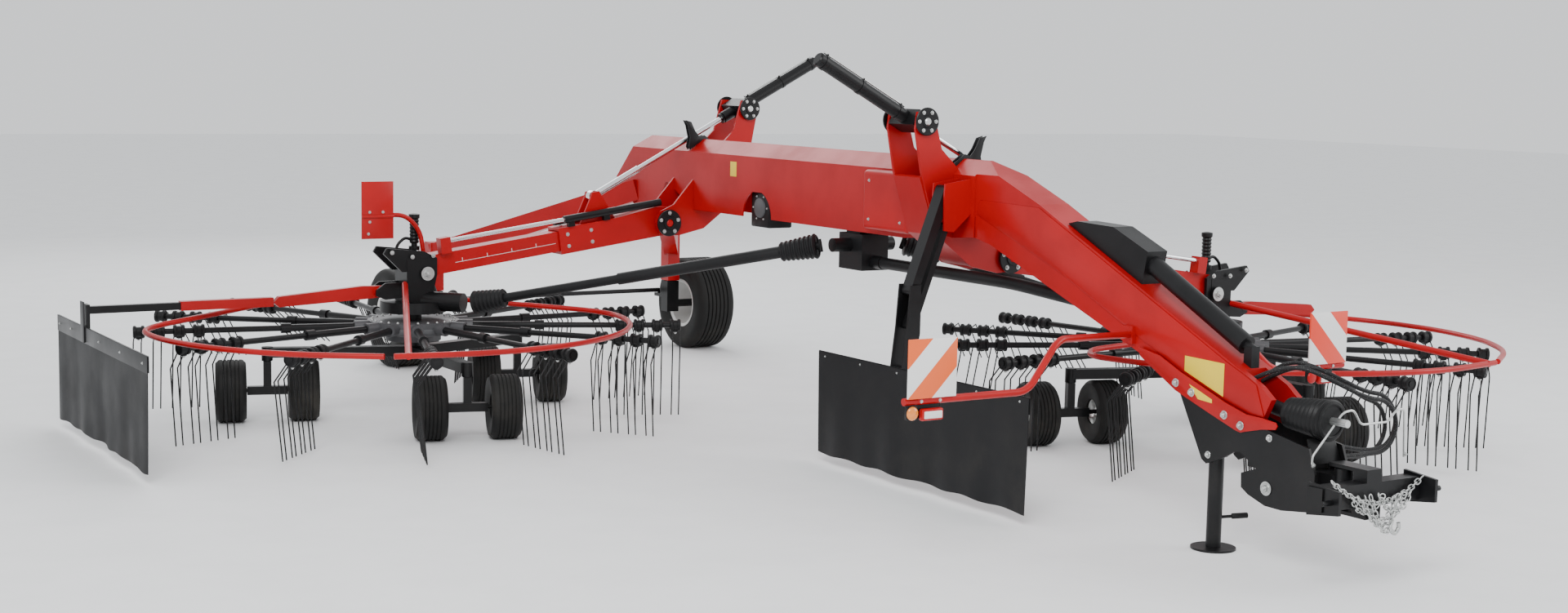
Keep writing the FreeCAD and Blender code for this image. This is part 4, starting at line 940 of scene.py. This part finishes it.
# %% Drawbar sides and hitch details
SIDE = [(-2.062, 1.712), (-2.90, 1.412), (-3.636, 1.098), (-3.976, 0.956), (-4.30, 0.852), (-4.50, 0.802),
        (-4.595, 0.800), (-4.529, 0.965), (-4.455, 1.0), (-4.30, 1.062), (-2.675, 1.790), (-2.10, 1.800)]
STRIP = [(-3.62, 1.062), (-3.80, 1.034), (-3.976, 0.962), (-4.316, 0.846), (-4.483, 0.803), (-4.60, 0.800),
         (-4.70, 0.790), (-4.712, 0.772), (-4.70, 0.752), (-4.60, 0.738), (-4.475, 0.706), (-4.448, 0.697),
         (-4.415, 0.702), (-4.196, 0.770), (-3.934, 0.855), (-3.64, 1.010)]
LABEL_MAIN = [(-3.984, 0.972), (-3.984, 1.056), (-4.290, 1.050), (-4.290, 0.868)]
LABEL_LOW = [(-4.045, 0.906), (-4.11, 0.885), (-4.227, 0.845), (-4.227, 0.825), (-4.118, 0.832)]
WASHER = [(0.010, 0), (0.036, 0), (0.038, 0.003), (0.038, 0.006), (0.010, 0.006)]
PLATES = {"drawbar_side": (SIDE, 0.1151, 0.006, 0.0025, FRAME_RED),
          "red_strip": (STRIP, 0.1316, 0.009, 0.0025, FRAME_RED),
          "label_main": (LABEL_MAIN, 0.1213, 0.0008, 0.0002, YELLOW_PAINT),
          "label_low": (LABEL_LOW, 0.1408, 0.0008, 0.0002, YELLOW_PAINT)}
STRIP_BOLTS = ((-3.940, 0.899), (-4.066, 0.862), (-4.323, 0.775), (-4.448, 0.736))
for sign in (-1, 1):
    out = (sign, 0, 0)
    for name, (outline, x, thick, round_by, look) in PLATES.items():
        corners = [(sign * x, y, z) for y, z in outline]
        done(flat_plate("%s_%d" % (name, sign), corners, (sign * thick, 0, 0), round_by), "frame", *look)
    bolts("strip_bolts_%d" % sign, [at(sign * 0.1408, y, z) for y, z in STRIP_BOLTS], out, 0.018)
    bolts("plate_bolts_%d" % sign, [at(sign * 0.1318, y, z) for y, z in ((-4.653, 0.700), (-4.205, 0.535))],
          out, 0.015)
    fitting("plate_washer_%d" % sign, WASHER, 32, at(sign * 0.1316, -4.648, 0.428), out, "frame", *ZINC_STEEL)
    bolts("big_bolt_%d" % sign, [at(sign * 0.1376, -4.648, 0.428)], out, 0.021)
panel = flat_plate("blank_panel", [(-0.115, -4.935, 0.600), (0.112, -4.935, 0.600), (0.085, -4.905, 0.735),
                                   (-0.115, -4.905, 0.735)], (0, 0.006, 0.001))
done(panel, "frame", *GEAR_BLACK)
for x in (-0.09, 0.06):
    post = bar("panel_post_%d" % (x > 0), at(x, -4.90, 0.555), at(x, -4.90, 0.72), 0.008, 16)
    done(post, "frame", *GEAR_BLACK)
tell("drawbar and hitch pieces")

# %% [markdown]
# The drive stub in the bellows' mouth is splined: every other edge of a bar with 24 sides is
# pushed in. The jack gets the black grip of its crank and a turned collar round its tube.

# %% Drive stub and jack crank
JACK_X, JACK_Y = -0.058, -4.2
COLLAR = [(0.0425, 0), (0.060, 0), (0.062, 0.004), (0.062, 0.03), (0.058, 0.034), (0.0425, 0.034)]
stub = added(bpy.ops.mesh.primitive_cylinder_add, "splined_stub", vertices=24, radius=0.02, depth=0.11)
for index, vertex in enumerate(stub.data.vertices):
    flat = Vector((vertex.co.x, vertex.co.y))
    flat = flat.normalized() * (0.0215 if (index // 2) % 2 else 0.0185)
    vertex.co.x, vertex.co.y = flat
done(place(stub, at(0, -5.012, 0.83), (0, 1, 0)), "frame", *ZINC_STEEL)
grip = bar("jack_grip", at(JACK_X + 0.085, JACK_Y - 0.046, 0.183), at(JACK_X + 0.165, JACK_Y - 0.090, 0.189),
           0.016, 24, 0.005)
done(grip, "jack", "black_plastic", PLASTIC)
fitting("jack_collar", COLLAR, 40, at(JACK_X, JACK_Y, 0.522), (0, 0, 1), "frame", *GEAR_BLACK)
tell("stub and jack pieces")

# %% [markdown]
# The middle curtain hangs from its rail on small zinc bolts. They stand in even rows on both
# faces of the rubber, and ride with it.

# %% Curtain bolts
low, high = box_of("middle_curtain")
rows = [low.y + 0.08 + (high.y - low.y - 0.16) * index / 5 for index in range(6)]
for hand, name in ((-1, "near"), (1, "far")):
    spots = [Vector(((low.x + high.x) / 2 + hand * 0.0035, y, high.z - 0.028)) for y in rows]
    bolts("curtain_bolts_" + name, spots, (hand, 0, 0), 0.0055, "middle_curtain")

# %% [markdown]
# Each head carries the arm on a big pin with zinc washers, an adjuster with a black spring
# column, and pipes. The rear one also has a plain red plate on a curved tube. The spring could
# be a screw, but a turned zigzag looks the same from outside and has far fewer faces.

# %% Head details
HEAD_WASHER = [(0.012, 0), (0.048, 0), (0.050, 0.003), (0.050, 0.008), (0.012, 0.008)]
COLUMN = ([(0, 0), (0.040, 0), (0.040, 0.03), (0.022, 0.035), (0.022, 0.05)]
          + [(0.036 if step % 2 else 0.030, 0.05 + step * 0.0125) for step in range(15)]
          + [(0.040, 0.235), (0.040, 0.262), (0.016, 0.268), (0.0, 0.268)])
for side, sign in SIGN.items():
    inner = "arm_inner_" + side
    for hand in (-1, 1):
        mark = "_%s_%d" % (side, hand)
        out = Vector((0, hand, 0))
        spot = rotor(side, -0.055, hand * 0.1365, 1.075)
        fitting("head_washer" + mark, HEAD_WASHER, 40, spot, out, inner, *ZINC_STEEL)
        bolts("head_pin" + mark, [spot + out * 0.008], out, 0.024, inner)
        small = [rotor(side, x, hand * 0.1365, z) for x, z in ((-0.10, 1.205), (0.215, 1.235), (0.06, 1.20))]
        bolts("head_bolts" + mark, small, out, 0.012, inner)
    base = rotor(side, -0.02, 0.03, 1.235)
    fitting("spring_column_" + side, COLUMN, 32, base, (0, 0, 1), inner, *GEAR_BLACK)
    start = rotor(side, -0.02, 0.03, 1.30) - SHIFT
    bends = ((0, 0), (0.07, 0.03), (0.13, -0.02), (0.15, -0.10))
    wire("head_pipe_" + side, [tuple(start + Vector((sign * x, 0, z))) for x, z in bends], 0.011, inner,
         "hose_rubber", BLACK)

low = rotor("right", 0.42, -0.075, 1.333)
high = rotor("right", 0.18, -0.067, 1.745)
sheet = block("head_plate", low, high, 0.002)
fold = block("head_plate_fold", (low.x, low.y - 0.012, 1.485), (high.x, low.y, 1.505), 0.003)
for item in (sheet, fold):
    done(item, "arm_inner_right", *FRAME_RED)
spots = [Vector((low.x + x, low.y - 0.0015, z)) for x, z in ((0.06, 1.525), (0.16, 1.525), (0.06, 1.455),
                                                             (0.05, 1.37))]
bolts("plate_bolts", spots, (0, -1, 0), 0.008, "arm_inner_right")
bends = ((-0.10, 0.030, 1.50), (0.10, 0.030, 1.50), (0.22, 0.05, 1.38), (0.25, 0.06, 1.215))
bends = [tuple(Vector((high.x + 0.003 + x, low.y + y, z)) - SHIFT) for x, y, z in bends]
wire("plate_tube", bends, 0.017, "arm_inner_right", *FRAME_RED, bend=0.12)
tell("head and curtain bolt pieces")

# %% [markdown]
# A ring of bolts holds the bearing cover on each hub, and a cast rim runs round the hub below
# them. Both follow the rotor's axle, so the bolts are copies on a circle and the rim is turned.

# %% Rotor details
for side in SIGN:
    body = "rotor_" + side
    top = rotor(side, 0, 0, 0.7302)
    bolts("hub_bolts_" + side, ring_places(top, (0, 0, 1), 0.300, 26, 5), (0, 0, 1), 0.010, body)
    rim = [(0.322, 0.0), (0.338, 0.0), (0.340, 0.004), (0.340, 0.030), (0.336, 0.036), (0.322, 0.036)]
    fitting("hub_rim_" + side, rim, 96, rotor(side, 0, 0, 0.655), (0, 0, 1), body, "zinc_steel", CAST)
tell("hub pieces")

# %% [markdown]
# Every arm ends in four rubber holders, each a pair of thick rings with a zinc bolt below.
# One holder is modelled along X and copied round both rotors. Arms near the rear right are
# turned up, just as their tines are.

# %% Tine holders
ROTOR_HEIGHT = 0.69
ROTOR_RADIUS = 1.96
ARM_COUNT = 13
FIRST_ARM = {"right": 3.0, "left": 17.0}

def lift_of(azimuth):
    """How far an arm is turned up, in degrees."""
    away = (azimuth - 125.0 + 180.0) % 360.0 - 180.0
    if abs(away) > 75:
        return 0.0
    return 30.0 * (1 + math.cos(math.radians(away * 180.0 / 75.0)))

rings = [(0.0365, -0.052)]
for middle in (-0.042, 0.012):
    rings += [(0.0365, middle - 0.012), (0.044, middle - 0.009), (0.046, middle), (0.044, middle + 0.009),
              (0.0365, middle + 0.012)]
rings += [(0.0365, 0.021), (0.030, 0.021), (0.030, -0.052)]
pattern = place(turned("holder_pattern", rings, 24), (0, 0, 0), (1, 0, 0))
foot = block("holder_foot", (-0.034, -0.014, -0.052), (0.004, 0.014, -0.030), 0.004)
nut = place(copy_of(BOLT, Matrix.Scale(0.011, 4)), (-0.015, 0, -0.051), (0, 0, -1))
for side in SIGN:
    body = "rotor_" + side
    rubber, nuts = [], []
    for index in range(ARM_COUNT):
        azimuth = FIRST_ARM[side] + 360.0 * index / ARM_COUNT
        spin = Matrix.Translation(rotor(side, 0, 0, ROTOR_HEIGHT))
        spin = spin @ Matrix.Rotation(math.radians(azimuth), 4, "Z")
        spin = spin @ Matrix.Rotation(math.radians(-lift_of(azimuth)), 4, "X")
        for row in range(4):
            matrix = spin @ Matrix.Translation((ROTOR_RADIUS - 0.025 - row * 0.135, 0, 0))
            rubber += [copy_of(pattern, matrix), copy_of(foot, matrix)]
            nuts.append(copy_of(nut, matrix))
    done(join(rubber, "tine_holders_" + side), body, "gear_black", PLASTIC)
    done(join(nuts, "holder_bolts_" + side), body, *ZINC_STEEL)
for item in (pattern, foot, nut):
    bpy.data.objects.remove(item)
print("holders", 4 * ARM_COUNT, "on each rotor")

# %% [markdown]
# The outer curtain's rail is a folded strip over the rubber, and its post stands on the
# outside of the strip. Its bends are sharp, so three thin blocks with small bevels make it.

# %% Curtain strip
low, high = box_of("outer_curtain")
near, far = low.y - 0.005, high.y + 0.005
face = low.x - 0.0004
post_y = rotor("right").y
for name, start, end, round_by in (
        ("curtain_strip", (face - 0.003, near, high.z - 0.100), (face, far, high.z + 0.010), 0.001),
        ("strip_flange", (face - 0.003, near, high.z + 0.007), (face + 0.0105, far, high.z + 0.010), 0.001),
        ("strip_post", (face - 0.012, post_y - 0.045, high.z - 0.095), (face - 0.0032, post_y + 0.045, 0.965),
         0.002)):
    done(block(name, start, end, round_by), "outer_curtain", "gear_black", RAIL)
rows = [low.y + share * (high.y - low.y) for share in (0.04, 0.27, 0.5, 0.83, 0.97)]
spots = [Vector((face - 0.0032, y, high.z - 0.045)) for y in rows]
bolts("strip_bolts", spots, (-1, 0, 0), 0.007, "outer_curtain")
tell("holder and curtain strip pieces")

# %% [markdown]
# The bolt's pattern has done its work and goes.

# %% Remove the bolt pattern
bpy.data.objects.remove(BOLT)
